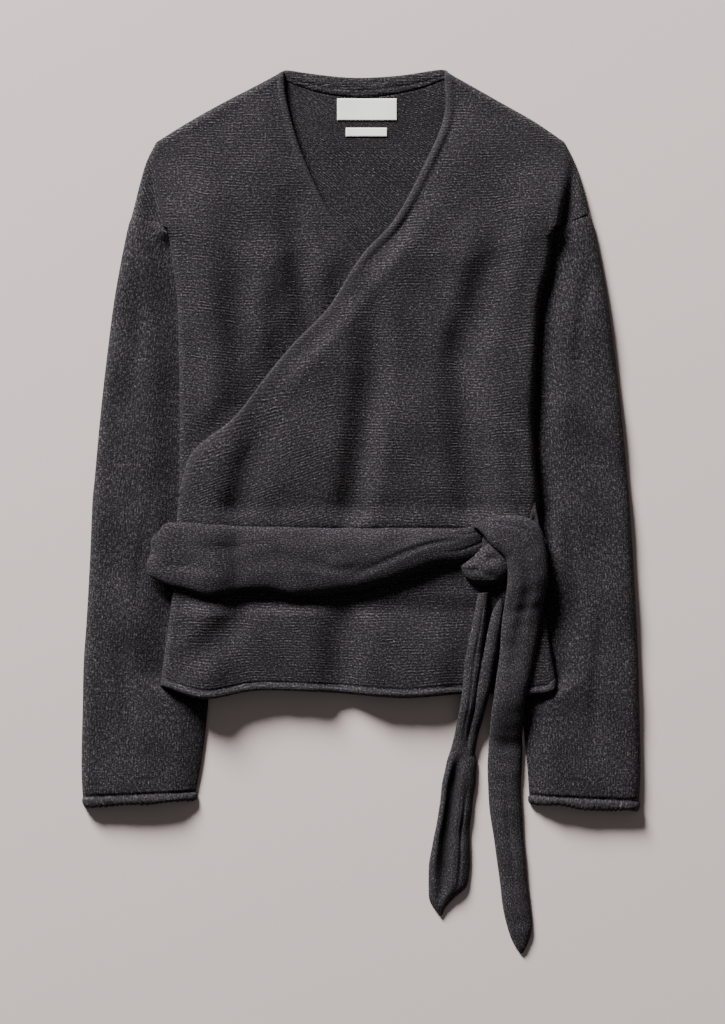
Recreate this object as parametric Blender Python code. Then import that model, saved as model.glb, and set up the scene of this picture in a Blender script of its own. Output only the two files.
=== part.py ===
# A knitted wrap cardigan that lies on its back, front up, with its sash tied in a knot.
# X runs to the right, Y to the neck and Z up from the surface that it rests on.
# Sizes and places are in millimetres, and become metres where a mesh is made.

import math

import bpy
import numpy as np
from mathutils import Vector
from mathutils.geometry import delaunay_2d_cdt

MM = 0.001

# Cloth and layers
WALL = 2.5                      # thickness of the knitted cloth
GAP = 0.5                       # air between two layers that lie on each other
LAYER = WALL + GAP
SLEEVE_STACK = 2 * LAYER        # what lies on a flattened sleeve starts at this height
BODY_STACK = 3 * LAYER          # back, under front and over front
SEAM_GAP = 0.4                  # between two pieces along a seam
EDGE_ROUND = 1.3                # how far a folded edge is rounded off
EDGE_ROLL = 1.0                 # how far a free edge rolls up
EDGE_RING = 4.0                 # distance of the roll's crest from the edge

# Fineness of the panels
EDGE_STEP = 20.0
GRID_STEP = 26.0
GRID_CLEAR = 9.0                # a grid point stays this far from an edge or a fold line

# Where the back climbs over the hidden part of a sleeve, or the over front over the under front
RAMP = 22.0
LINE_CLEAR = 1.2                # the upper line of a ramp stays this far off the edge below it
FOLD_RUN = 6.0                  # width of the step from the body down to the dropped shoulder

# Half of the body's outline, from the neck to the hem: (across, up)
SHOULDER_RIGHT = ((77, 407), (100, 394), (130, 377), (160, 360), (188, 341))
SHOULDER_LEFT = ((-71, 407), (-95, 394), (-128, 377), (-160, 359), (-189, 341))
DROP_RIGHT = ((188, 341), (197, 323), (204, 303), (211, 275))
DROP_LEFT = ((-189, 341), (-198, 323), (-204, 303), (-211, 275))
SEAM_CORNER = (178, 261)        # where the armhole seam passes under the fold at the side
SIDE_RIGHT = ((178, 261), (174, 225), (165, 188), (160, 93), (161, 46),
              (164, 8), (158, -14), (157, -62), (168, -88), (181, -160))
SIDE_LEFT = ((-178, 261), (-173, 225), (-169, 188), (-167, 93), (-167, 46),
             (-169, 0), (-174, -76), (-185, -160))
HEM = ((181, -160), (167, -168), (92, -168), (40, -171), (-10, -168),
       (-60, -165), (-100, -165), (-144, -172), (-185, -160))
BACK_NECK = ((-66, 395), (-38, 386), (-10, 382), (20, 383), (52, 389), (74, 397))

# The free edges of the two fronts
OVER_EDGE = ((77, 407), (76, 362), (54, 311), (30, 268), (0, 235), (-30, 188), (-62, 155),
             (-87, 125), (-116, 87), (-143, 66), (-158, 50), (-167, 18))
UNDER_EDGE = ((-71, 407), (-68, 377), (-54, 329), (-30, 277), (-2, 236), (30, 188), (62, 155),
              (87, 125), (116, 87), (143, 66), (156, 50), (163, 18))
UNDER_SHOWS_ABOVE = 250         # below this the under front's edge is covered

# A sleeve, one row for each line across it: outer x, outer y, inner x, inner y
SLEEVE_RIGHT = (
    (211, 273.6, 90, 225), (216, 258, 92, 210), (227, 200, 101, 175), (235, 139, 112, 130),
    (241, 84, 126, 78), (246, 29, 138, 29), (248, 8, 140, 8), (251, -40, 140, -40),
    (254, -96, 140, -96), (256, -140, 145, -145), (257, -185, 149, -188),
    (258, -229, 153, -229), (257, -262, 155, -258), (255, -278, 156, -270))
SLEEVE_LEFT = (
    (-211, 273.6, -88, 225), (-216, 258, -90, 210), (-227, 200, -99, 175), (-235, 139, -110, 130),
    (-241, 84, -122, 78), (-246, 29, -133, 29), (-248, 8, -136, 8), (-250, -40, -136, -40),
    (-253, -96, -136, -96), (-256, -140, -139, -145), (-257, -185, -142, -188),
    (-258, -229, -147, -229), (-257, -260, -152, -256), (-254, -274, -153, -267))
RAMP_START = ((188, 341), (122, 300), (60, 240))      # the low end of the ramp near the shoulder

# Folds: crest points as (across, up, height), and the half width of the fold
OVER_FOLDS = (
    (20, ((98, 320, 0), (70, 250, 7.0), (52, 160, 8.0), (48, 70, 7.0), (52, 10, 0))),
    (20, ((52, 262, 0), (8, 180, 8.0), (-18, 110, 7.0), (-26, 60, 6.0), (-24, 10, 0))),
    (15, ((-28, 150, 0), (-62, 98, 6.0), (-82, 56, 5.5), (-92, 12, 0))),
    (14, ((144, 300, 0), (128, 205, 6.0), (108, 130, 7.0), (102, 70, 6.0), (104, 10, 0))),
    (18, ((164, 262, 0), (150, 205, 8.0), (141, 130, 9.0), (140, 70, 8.0), (142, 22, 0))),
    (20, ((12, -92, 0), (10, -118, 6.5), (2, -150, 5.0), (0, -163, 0))),
    (18, ((-58, -92, 0), (-78, -116, 6.0), (-104, -144, 4.5), (-112, -160, 0))),
    (14, ((-150, 40, 0), (-148, 22, 2.0), (-146, 8, 0))),
    (15, ((-146, -92, 0), (-152, -118, 5.0), (-158, -144, 3.0), (-160, -156, 0))),
)
UNDER_FOLDS = (
    (16, ((-132, 335, 0), (-112, 260, 6.5), (-102, 190, 6.5), (-102, 136, 0))),
    (14, ((-76, 340, 0), (-62, 292, 5.5), (-52, 252, 0))),
    (14, ((-163, 300, 0), (-151, 220, 7.0), (-143, 150, 7.0), (-141, 100, 0))),
)

# The neckband, a folded strip round the back of the neck
BAND_TOP = ((-68, 408), (-40, 403), (-5, 400), (35, 402), (75, 408))
BAND_CREST = ((-60, 401), (-34, 395), (7, 392), (40, 395), (68, 402))
BAND_WALL = 3.0
BAND_CREST_RISE = 1.5

# The two blank labels: left, right, bottom, top
MAIN_LABEL = (-22, 33, 361, 381)
SMALL_LABEL = (-14, 24, 346, 354)
LABEL_WALL = 1.0

# The sash. Its back stretch lies between the back panel and the sleeves.
SASH_TOP = -12
SASH_BOTTOM = -74
SASH_RAMP = 18                  # the body climbs over the back stretch within this distance
SASH_HEIGHT = 5.0               # height of a stretch whose edges curl under
SASH_WRAP_LEFT = -172           # the sash turns round the body's sides about these lines
SASH_WRAP_RIGHT = 156
SASH_REACH = 12                 # how far the inner face of a turn stands off from its line
SASH_TURN_MIDDLE = (2 * SLEEVE_STACK + LAYER + BODY_STACK + SASH_HEIGHT) / 2
# The front stretch: across, upper edge, lower edge
SASH_FRONT = (
    (-164, -12, -72), (-140, -12, -76), (-114, -13, -75), (-87, -13, -73), (-50, -14, -78),
    (-12, -14, -79), (26, -14, -68), (68, -14, -52), (92, -13, -48), (110, -9, -41))
# The stretch that comes round the right side and runs under the knot
SASH_SIDE = ((139, -8, -50), (146, -4, -56), (151, 4, -60))

# Knot and tails, one row for each section: across, up, height of the foot, width, height.
# The right tail starts on the sash, bends over the knot and runs down. The left one comes
# from under the loop, and its other half from under the right tail.
KNOT = ((122, -8, 15.8, 18, 3.4), (122, -20, 16.1, 20, 3.8), (121, -34, 15.7, 20, 3.8),
        (119, -42, 15.4, 16, 3.6))
KNOT_LOOP = ((128, -55, 15.8, 18, 8.5), (119, -58, 13.8, 24, 11), (108, -58, 12.2, 24, 11),
             (98, -57, 12.2, 18, 9), (94, -56, 12.2, 10, 5))
TAIL_RIGHT = (
    (98, -24, 17.2, 16, 1.6), (106, -21, 17.9, 24, 4.5), (115, -18.5, 20.6, 28, 7.5),
    (126, -17, 23.0, 34, 9), (137, -20, 24.4, 41, 9.2), (146, -29, 24.6, 42, 9),
    (151, -43, 24.6, 39, 8.8), (152.5, -60, 24.6, 37, 8.5), (152, -80, 20.0, 38, 8),
    (148, -100, 16.0, 38, 7), (144, -137, 15.6, 33, 7), (139, -165, 16.6, 31, 7),
    (136, -182, 13.5, 31, 7), (134, -200, 7.0, 30, 7), (133, -220, 1.2, 29, 7),
    (133, -262, 0.0, 29, 7), (138, -311, 0.0, 27, 7), (143, -358, 0.0, 24, 6),
    (148, -394, 0.0, 18, 5), (149, -408, 0.0, 6, 3))
TAIL_LEFT = (
    (112.7, -74, 12.6, 11, 6), (109.5, -100, 10.4, 11, 6), (105.5, -118, 10.2, 12.5, 6),
    (102.5, -137, 9.9, 14.5, 6), (99, -165, 10.6, 13, 6), (97.5, -182, 8.0, 13, 6),
    (98.2, -200, 2.6, 14, 7), (98.3, -212, 0.8, 17, 7.5), (98.5, -224, 0.0, 23, 8),
    (93, -252, 0.0, 33, 8), (90, -284, 0.0, 35, 8), (86, -316, 0.0, 38, 8),
    (81, -340, 0.0, 35, 7), (76, -358, 0.0, 21, 5), (73, -371, 0.0, 6, 3))
TAIL_LEFT_FOLD = (
    (125.6, -112, 11.9, 3, 2.5), (123.2, -124, 10.9, 6.5, 4.5), (120.6, -137, 10.1, 9, 6),
    (116.2, -165, 10.4, 12, 6), (113.2, -182, 8.4, 12, 6), (111.6, -200, 3.0, 9, 6),
    (111.6, -212, 0.9, 6, 5), (113, -225, 0.0, 3, 2.5))

WOOL = (0.040, 0.039, 0.042)
WOOL_INSIDE = (0.048, 0.047, 0.050)
JERSEY = (0.036, 0.035, 0.038)
LABEL_WEAVE = (0.72, 0.71, 0.69)


def clear_scene():
    for item in list(bpy.data.objects):
        bpy.data.objects.remove(item, do_unlink=True)


def fabric(name, colour, roughness):
    material = bpy.data.materials.new(name)
    material.use_nodes = True
    shader = material.node_tree.nodes["Principled BSDF"]
    shader.inputs["Base Color"].default_value = (*colour, 1.0)
    shader.inputs["Roughness"].default_value = roughness
    shader.inputs["Metallic"].default_value = 0.0
    return material


def add_mesh(name, points, faces, material):
    mesh = bpy.data.meshes.new(name)
    mesh.from_pydata((np.asarray(points) * MM).tolist(), [], faces)
    mesh.materials.append(material)
    mesh.shade_smooth()
    mesh.set_sharp_from_angle(angle=math.radians(50))
    part = bpy.data.objects.new(name, mesh)
    bpy.context.scene.collection.objects.link(part)
    return part


# Lines in plan


def straight(points, step):
    """The points of a line of straight runs, none longer than the step."""
    points = np.array(points, float)
    rows = []
    for start, end in zip(points[:-1], points[1:]):
        count = max(1, math.ceil(np.linalg.norm((end - start)[:2]) / step))
        share = np.arange(count)[:, None] / count
        rows.append(start + (end - start) * share)
    rows.append(points[-1:])
    return np.vstack(rows)


def curved(points, step):
    """A Catmull-Rom curve through the points, cut at about the step."""
    points = np.array(points, float)
    hull = np.vstack([2 * points[0] - points[1], points, 2 * points[-1] - points[-2]])
    rows = []
    for index in range(len(points) - 1):
        before, start, end, after = hull[index:index + 4]
        count = max(1, round(np.linalg.norm(end - start) / step))
        t = np.arange(count)[:, None] / count
        rows.append(0.5 * (2 * start + (end - before) * t
                           + (2 * before - 5 * start + 4 * end - after) * t ** 2
                           + (3 * start - before - 3 * end + after) * t ** 3))
    rows.append(points[-1:])
    return np.vstack(rows)


def crossing(line, y):
    """Where a line that runs down the picture crosses a height."""
    return float(np.interp(-y, -line[:, 1], line[:, 0]))


def beside(line, distance):
    """The line moved to its left by a distance."""
    line = np.array(line, float)
    heading = np.gradient(line[:, :2], axis=0)
    heading /= np.linalg.norm(heading, axis=1)[:, None]
    moved = line[:, :2] + distance * np.column_stack([-heading[:, 1], heading[:, 0]])
    return np.column_stack([moved, line[:, 2:]])


def nearest(points, line):
    """For each point, its distance to the line and the line's third column there."""
    best = np.full(len(points), np.inf)
    value = np.zeros(len(points))
    for start, end in zip(line[:-1], line[1:]):
        along = end[:2] - start[:2]
        share = np.clip((points - start[:2]) @ along / max(along @ along, 1e-9), 0, 1)
        distance = np.linalg.norm(points - start[:2] - share[:, None] * along, axis=1)
        closer = distance < best
        best[closer] = distance[closer]
        if len(start) > 2:
            value[closer] = (start[2] + (end[2] - start[2]) * share)[closer]
    return best, value


def distance_to(points, line):
    return nearest(points, np.asarray(line, float))[0]


def inside(points, outline):
    """True for each point that lies inside a closed outline (even-odd rule)."""
    result = np.zeros(len(points), bool)
    for start, end in zip(outline, np.roll(outline, -1, axis=0)):
        crosses = (start[1] > points[:, 1]) != (end[1] > points[:, 1])
        rise = end[1] - start[1]
        at = start[0] + (points[:, 1] - start[1]) * (end[0] - start[0]) / (rise if rise else 1.0)
        result ^= crosses & (points[:, 0] < at)
    return result


# Heights of the stack


def climb(points, high_line, low_line, far_corners):
    """1 beyond the high line, 0 short of the low line, and even between them."""
    high = inside(points, np.vstack([high_line, far_corners]))
    low = inside(points, np.vstack([low_line, far_corners]))
    to_high = distance_to(points, high_line)
    to_low = distance_to(points, low_line)
    ratio = to_low / np.maximum(to_low + to_high, 1e-9)
    return np.where(high, 1.0, np.where(low, ratio, 0.0))


def sleeve_lines(rows, side):
    """The lines on the body where it starts to climb over a sleeve, and where it is on it."""
    inner = np.array(rows, float)[:, 2:]
    high = inner - (side * LINE_CLEAR, 0)
    high[0] = inner[0] + (-side * LINE_CLEAR, 2 * LINE_CLEAR)
    low = inner[1:] - (side * (RAMP + LINE_CLEAR), 0)
    corner = np.array([[side * SEAM_CORNER[0], SEAM_CORNER[1] + LINE_CLEAR]])
    start = np.array(RAMP_START, float) * (side, 1)
    return np.vstack([corner, high]), np.vstack([start, low])


def fold_line(side):
    """The fold at the side of the body, from the shoulder down to the armhole seam."""
    shoulder = (side * RAMP_START[0][0], RAMP_START[0][1])
    return np.array([shoulder, (side * 187, 312), (side * 182, 285),
                     (side * SEAM_CORNER[0], SEAM_CORNER[1])], float)


SLEEVES = {1: SLEEVE_RIGHT, -1: SLEEVE_LEFT}
RAMP_LINES = {side: sleeve_lines(rows, side) for side, rows in SLEEVES.items()}


def over_sleeves(points):
    """Height of what lies on the hidden part of the sleeves."""
    height = np.zeros(len(points))
    for side, (high_line, low_line) in RAMP_LINES.items():
        far = np.array([[side * 400, -300], [side * 400, 345]])
        share = climb(points, high_line, low_line, far)
        line = fold_line(side)[::-1]
        fold = np.interp(points[:, 1], line[:, 1], side * line[:, 0])
        past = side * points[:, 0] - fold
        step = np.clip(1 - past / FOLD_RUN, 0, 1)
        above_seam = points[:, 1] > SEAM_CORNER[1] - 0.5
        height += SLEEVE_STACK * share * np.where(above_seam, step, 1.0)
    return height


def over_sash_back(points):
    """Height that the back stretch of the sash adds under the body."""
    y = points[:, 1]
    off = np.maximum(y - (SASH_TOP + LINE_CLEAR), (SASH_BOTTOM - LINE_CLEAR) - y)
    return LAYER * np.clip(1 - off / SASH_RAMP, 0, 1)


def ridges(points, folds):
    """The highest of the folds at each point: straight flanks down from each crest."""
    height = np.zeros(len(points))
    for half_width, crest in folds:
        off, top = nearest(points, np.array(crest, float))
        height = np.maximum(height, top * np.clip(1 - off / half_width, 0, 1))
    return height


UNDER_LINE = curved(UNDER_EDGE, EDGE_STEP)
OVER_LINE = curved(OVER_EDGE, EDGE_STEP)
UNDER_HIGH = beside(UNDER_LINE, LINE_CLEAR)
UNDER_LOW = beside(UNDER_LINE, LINE_CLEAR + RAMP)


def back_underside(points):
    return over_sleeves(points) + over_sash_back(points)


def under_underside(points):
    return back_underside(points) + LAYER + ridges(points, UNDER_FOLDS)


def over_underside(points):
    far = np.array([[400, -300], [-400, -300], [-400, 407]])
    climbing = climb(points, UNDER_HIGH, UNDER_LOW, far)
    return back_underside(points) + LAYER * (1 + climbing) + ridges(points, OVER_FOLDS)


# Flat pieces


def panel(name, outline, underside, wall, material, lines=(), rolled=None,
          round_top=EDGE_ROUND, round_bottom=0.0, ring=EDGE_RING, grid=GRID_STEP):
    """A cloth panel: its outline in plan, filled with triangles whose corners lie on the
    given underside, and the same triangles one wall higher, joined round the edge."""
    outline = np.asarray(outline, float)
    lines = [straight(line[:, :2], grid) for line in lines]
    loops = [(outline, True)]
    inner = beside(np.vstack([outline, outline[:2]]), ring)[1:-1]
    keep = distance_to(inner, np.vstack([outline, outline[:1]])) > 0.8 * ring
    loops.append((inner[keep], True))
    loops += [(line, False) for line in lines]

    low, high = outline.min(axis=0), outline.max(axis=0)
    xs = np.arange(math.floor(low[0] / grid) * grid, high[0], grid)
    ys = np.arange(math.floor(low[1] / grid) * grid, high[1], grid)
    field = np.array([(x, y) for y in ys for x in xs])
    field[:, 0] += np.where(np.round(field[:, 1] / grid) % 2 == 0, 0, grid / 2)
    field = field[inside(field, outline)]
    for line in [np.vstack([outline, outline[:1]])] + lines:
        if len(field):
            field = field[distance_to(field, line) > GRID_CLEAR]

    points, edges = [], []
    for line, closed in loops:
        first = len(points)
        points += line[:, :2].tolist()
        edges += [(first + k, first + k + 1) for k in range(len(line) - 1)]
        if closed:
            edges.append((first + len(line) - 1, first))
    points += field.tolist()
    found = delaunay_2d_cdt([Vector(p) for p in points], edges, [], 0, 0.05)
    plan = np.array([tuple(p) for p in found[0]])
    triangles = np.array([tuple(face) for face in found[2]])
    triangles = triangles[inside(plan[triangles].mean(axis=1), outline)]
    used, triangles = np.unique(triangles, return_inverse=True)
    triangles = triangles.reshape(-1, 3)
    plan = plan[used]
    a, b, c = (plan[triangles[:, k]] for k in range(3))
    turn = (b[:, 0] - a[:, 0]) * (c[:, 1] - a[:, 1]) - (b[:, 1] - a[:, 1]) * (c[:, 0] - a[:, 0])
    triangles = np.where((turn > 0)[:, None], triangles, triangles[:, ::-1])

    sides = np.vstack([triangles[:, (0, 1)], triangles[:, (1, 2)], triangles[:, (2, 0)]])
    known = {tuple(edge) for edge in sides.tolist()}
    rim = [edge for edge in sorted(known) if (edge[1], edge[0]) not in known]
    on_rim = np.zeros(len(plan), bool)
    on_rim[[corner for edge in rim for corner in edge]] = True

    floor = underside(plan)
    top = floor + wall - round_top * on_rim
    if rolled is not None:
        top += EDGE_ROLL * np.where(on_rim, 0, rolled(plan))
    bottom = floor + round_bottom * on_rim
    count = len(plan)
    corners = np.vstack([np.column_stack([plan, top]), np.column_stack([plan, bottom])])
    faces = triangles.tolist() + (triangles[:, ::-1] + count).tolist()
    faces += [(a + count, b + count, b, a) for a, b in rim]
    return add_mesh(name, corners, faces, material)


def roll_along(*edges):
    """A roll whose crest runs beside the given edges: 1 on the crest, 0 from twice as far."""
    def height(points):
        off = np.min([distance_to(points, edge) for edge in edges], axis=0)
        return np.clip(1 - np.abs(off - EDGE_RING) / EDGE_RING, 0, 1)
    return height


def fold_guides(folds):
    """The crest and the two feet of each fold."""
    guides = []
    for half_width, crest in folds:
        line = np.array(crest, float)
        guides += [line, beside(line, half_width), beside(line, -half_width)]
    return guides


def ramp_guides():
    guides = []
    for side, (high_line, low_line) in RAMP_LINES.items():
        line = fold_line(side)
        guides += [high_line, low_line, line[1:], line[1:] + (side * FOLD_RUN, 0)]
        guides.append(np.array([high_line[1], low_line[2]]))
        guides.append((high_line[[0, 1, 1, 2]] + low_line[[1, 1, 2, 3]]) / 2)
    for y in (SASH_TOP + LINE_CLEAR, SASH_BOTTOM - LINE_CLEAR):
        guides.append(np.array([(-200, y), (200, y)], float))
    for y in (SASH_TOP + LINE_CLEAR + SASH_RAMP, SASH_BOTTOM - LINE_CLEAR - SASH_RAMP):
        guides.append(np.array([(-200, y), (200, y)], float))
    return guides


def joined(*parts):
    """One closed outline out of lines that follow each other, without their shared ends."""
    rows = []
    for part in parts:
        rows += [tuple(row) for row in np.asarray(part, float)[:, :2]]
    kept = [row for k, row in enumerate(rows) if math.dist(row, rows[k - 1]) > 0.5]
    return np.array(kept)


def body_lines():
    return {
        "shoulder_right": straight(SHOULDER_RIGHT, EDGE_STEP),
        "shoulder_left": straight(SHOULDER_LEFT, EDGE_STEP),
        "drop_right": curved(DROP_RIGHT, EDGE_STEP),
        "drop_left": curved(DROP_LEFT, EDGE_STEP),
        "side_right": curved(SIDE_RIGHT, EDGE_STEP),
        "side_left": curved(SIDE_LEFT, EDGE_STEP),
        "hem": curved(HEM, EDGE_STEP),
    }


def below(line, y):
    return line[line[:, 1] < y]


def make_back(lines, material):
    outline = joined(lines["hem"], lines["side_left"][::-1], lines["drop_left"][::-1],
                     lines["shoulder_left"][::-1], curved(BACK_NECK, EDGE_STEP),
                     lines["shoulder_right"], lines["drop_right"], lines["side_right"])
    return panel("back", outline[::-1], back_underside, WALL, material, ramp_guides(),
                 round_top=0.4, round_bottom=0.9)


def make_front_under(lines, material):
    edge = UNDER_LINE
    right_side = below(lines["side_right"], edge[-1][1] - 8)
    outline = joined(lines["hem"], lines["side_left"][::-1], lines["drop_left"][::-1],
                     lines["shoulder_left"][::-1], edge, right_side)
    shown = edge[edge[:, 1] > UNDER_SHOWS_ABOVE]
    return panel("front_under", outline[::-1], under_underside, WALL, material,
                 ramp_guides() + fold_guides(UNDER_FOLDS), rolled=roll_along(shown))


def make_front_over(lines, material):
    edge = OVER_LINE
    left_side = below(lines["side_left"], edge[-1][1] - 8)
    outline = joined(lines["hem"], left_side[::-1], edge[::-1], lines["shoulder_right"],
                     lines["drop_right"], lines["side_right"])
    guides = ramp_guides() + fold_guides(OVER_FOLDS) + [UNDER_HIGH, UNDER_LOW]
    return panel("front_over", outline[::-1], over_underside, WALL, material, guides,
                 rolled=roll_along(edge, lines["hem"]))


def make_neckband(material):
    lower = curved(BACK_NECK, EDGE_STEP) + (0, SEAM_GAP)
    upper = curved(BAND_TOP, EDGE_STEP)
    crest = curved(BAND_CREST, EDGE_STEP)

    def rise(points):
        off = distance_to(points, crest)
        return np.clip(1 - off / 8, 0, 1) * BAND_CREST_RISE / EDGE_ROLL

    outline = joined(lower, upper[::-1])
    return panel("neckband", outline, lambda points: np.zeros(len(points)), BAND_WALL, material,
                 [crest], rolled=rise, round_top=1.0, round_bottom=0.6, ring=2.5)


def make_label(name, box, material):
    left, right, bottom, top = box
    corners = straight([(left, bottom), (right, bottom), (right, top), (left, top),
                        (left, bottom)], 30)[:-1]
    return panel(name, corners, lambda points: np.full(len(points), WALL + 0.3), LABEL_WALL,
                 material, round_top=0.3, ring=1.6)


# Sleeves


def sleeve_ring(width, rise, hollow):
    """Points round a flattened tube: across, up. Flat below, folds on top, round edges."""
    inset = WALL + GAP / 2
    radius = GAP / 2 if hollow else inset
    middle = inset
    turn = np.radians((-90, -30, 30, 90))
    shares = np.array((0.2, 0.4, 0.6, 0.8))
    right = np.column_stack([width - inset + radius * np.cos(turn),
                             middle + radius * np.sin(turn)])
    left = np.column_stack([inset - radius * np.cos(turn[::-1]),
                            middle + radius * np.sin(turn[::-1])])
    flat = inset + (width - 2 * inset) * shares
    upper = np.column_stack([flat[::-1], middle + radius + rise[::-1]])
    lower = np.column_stack([flat, np.full(len(flat), middle - radius)])
    return np.vstack([right, upper, left, lower])


def make_sleeve(name, rows, side, material):
    """Rings from the armhole seam to the cuff. Across each, the first share is at the outer
    edge. The folds lie on the outer part alone, because the body covers the inner part."""
    rows = np.array(rows, float)
    length = np.linspace(0, 1, len(rows))
    rise = np.zeros((len(rows), 4))
    rise[:, 1] = 1.8 * np.sin(math.pi * length) ** 2 * (0.6 + 0.4 * np.cos(9 * length))
    rise[:, 0] = 1.2 * np.sin(math.pi * length) ** 2 * (0.6 - 0.4 * np.cos(9 * length))
    rise[-2] = (1.0, 1.0, 1.0, 1.0)
    outer_rings, inner_rings = [], []
    for row, folds in zip(rows, rise):
        start, end = row[:2], row[2:]
        across = end - start
        width = np.linalg.norm(across)
        across /= width
        for rings, hollow in ((outer_rings, False), (inner_rings, True)):
            ring = sleeve_ring(width, folds, hollow)
            plan = start + ring[:, :1] * across
            rings.append(np.column_stack([plan, ring[:, 1]]))
    outer, inner = np.array(outer_rings), np.array(inner_rings)
    count, around = outer.shape[:2]
    points = np.vstack([outer.reshape(-1, 3), inner.reshape(-1, 3)])
    offset = count * around
    faces = []
    for k in range(count - 1):
        for j in range(around):
            n = (j + 1) % around
            a, b, c, d = k * around + j, k * around + n, (k + 1) * around + n, (k + 1) * around + j
            faces.append((a, b, c, d))
            faces.append((a + offset, d + offset, c + offset, b + offset))
    for k, flip in ((0, False), (count - 1, True)):
        for j in range(around):
            n = (j + 1) % around
            face = (k * around + j, k * around + j + offset,
                    k * around + n + offset, k * around + n)
            faces.append(face[::-1] if flip else face)
    if side > 0:
        faces = [face[::-1] for face in faces]
    return add_mesh(name, points, faces, material)


# Sash, knot and tails


def arch(width, height, squareness=2.6, segments=8):
    """A strip's section with both edges curled down: outer and inner points, foot to foot."""
    turn = np.linspace(math.pi, 0, segments + 1)
    power = 2 / squareness
    across = np.sign(np.cos(turn)) * np.abs(np.cos(turn)).round(9) ** power
    up = np.abs(np.sin(turn)).round(9) ** power
    wall = min(WALL, 0.34 * width)
    lift = min(WALL, 0.45 * height)
    outer = np.column_stack([across * width / 2, up * height])
    inner = np.column_stack([across * (width / 2 - wall), up * (height - lift)])
    return outer, inner


def flat_bar(width, height):
    """A flat strip's section with its outer corners cut: outer and inner points."""
    across = np.array((-1, -0.97, -0.33, 0.33, 0.97, 1)) * width / 2
    outer = np.column_stack([across, (0.9, height, height, height, height, 0.9)])
    inner = np.column_stack([across * 0.985, np.zeros(6)])
    return outer, inner


def swept(name, feet, sections, material, side=None):
    """A section carried along the line of its feet. Up is at right angles to the line and
    to the direction across it."""
    feet = np.array(feet, float)
    heading = np.gradient(feet, axis=0)
    heading /= np.linalg.norm(heading, axis=1)[:, None]
    if side is None:
        across = np.column_stack([-heading[:, 1], heading[:, 0], np.zeros(len(feet))])
        across /= np.linalg.norm(across, axis=1)[:, None]
    else:
        across = np.tile(np.array(side, float), (len(feet), 1))
    up = np.cross(heading, across)
    rings = []
    for foot, a, u, (outer, inner) in zip(feet, across, up, sections):
        ring = np.vstack([outer, inner[::-1]])
        rings.append(foot + ring[:, :1] * a + ring[:, 1:] * u)
    rings = np.array(rings)
    count, around = rings.shape[:2]
    half = around // 2
    faces = []
    for k in range(count - 1):
        for j in range(around):
            n = (j + 1) % around
            faces.append((k * around + j, (k + 1) * around + j,
                          (k + 1) * around + n, k * around + n))
    for k, flip in ((0, False), (count - 1, True)):
        for j in range(half - 1):
            far = around - 1 - j
            face = tuple(k * around + n for n in (j, j + 1, far - 1, far))
            faces.append(face[::-1] if flip else face)
    return add_mesh(name, rings.reshape(-1, 3), faces, material)


def body_top(x):
    """Height of the over front at the sash, where the lines below run straight."""
    at = np.column_stack([np.atleast_1d(x), np.full(np.size(x), (SASH_TOP + SASH_BOTTOM) / 2)])
    return back_underside(at) + BODY_STACK - 0.1


def ramp_crossings():
    """Where the ramps over the sleeves start and end in the middle of the sash."""
    middle = (SASH_TOP + SASH_BOTTOM) / 2
    return sorted(crossing(line, middle) for pair in RAMP_LINES.values() for line in pair)


def quarter_turn(centre_x, side, reach, depth, above, steps=4):
    """Feet of a strip that turns round the body's side, from the top to half way down."""
    turn = np.linspace(0.5 * math.pi, 0.0, steps + 1)
    turn[-1] = 0.03
    x = centre_x + side * reach * np.cos(turn)
    z = SASH_TURN_MIDDLE + (depth if above else -depth) * np.sin(turn)
    return x, z


def make_sash_front(material):
    rows = np.array(SASH_FRONT, float)
    low, high = rows[0, 0], rows[-1, 0]
    breaks = ramp_crossings()
    xs = np.array(sorted({x for x in list(rows[:, 0]) + breaks if low <= x <= high}))
    xs = xs[np.append(True, np.diff(xs) > 0.8)]
    tops = np.interp(xs, rows[:, 0], rows[:, 1])
    bottoms = np.interp(xs, rows[:, 0], rows[:, 2])
    z = body_top(xs)
    wrap_x, wrap_z = quarter_turn(SASH_WRAP_LEFT, -1, SASH_REACH, z[0] - SASH_TURN_MIDDLE, True)
    xs = np.concatenate([wrap_x[::-1], xs])
    z = np.concatenate([wrap_z[::-1], z])
    tops = np.concatenate([(-36, -28, -20, -15, -12), tops])
    bottoms = np.concatenate([(-60, -63, -66, -69, -71), bottoms])
    feet = np.column_stack([xs, (tops + bottoms) / 2, z])
    sections = [arch(width, SASH_HEIGHT, 5.0) for width in tops - bottoms]
    return swept("sash_front", feet, sections, material, side=(0, 1, 0))


def make_sash_side(material):
    rows = np.array(SASH_SIDE, float)
    z = body_top(rows[:, 0])
    wrap_x, wrap_z = quarter_turn(SASH_WRAP_RIGHT, 1, SASH_REACH, z[-1] - SASH_TURN_MIDDLE, True)
    xs = np.concatenate([rows[:, 0], wrap_x])
    z = np.concatenate([z, wrap_z])
    tops = np.concatenate([rows[:, 1], (12, 4, -8, -20, -28)])
    bottoms = np.concatenate([rows[:, 2], (-62, -62, -62, -62, -62)])
    feet = np.column_stack([xs, (tops + bottoms) / 2, z])
    sections = [arch(width, SASH_HEIGHT, 5.0) for width in tops - bottoms]
    return swept("sash_side", feet, sections, material, side=(0, 1, 0))


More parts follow.
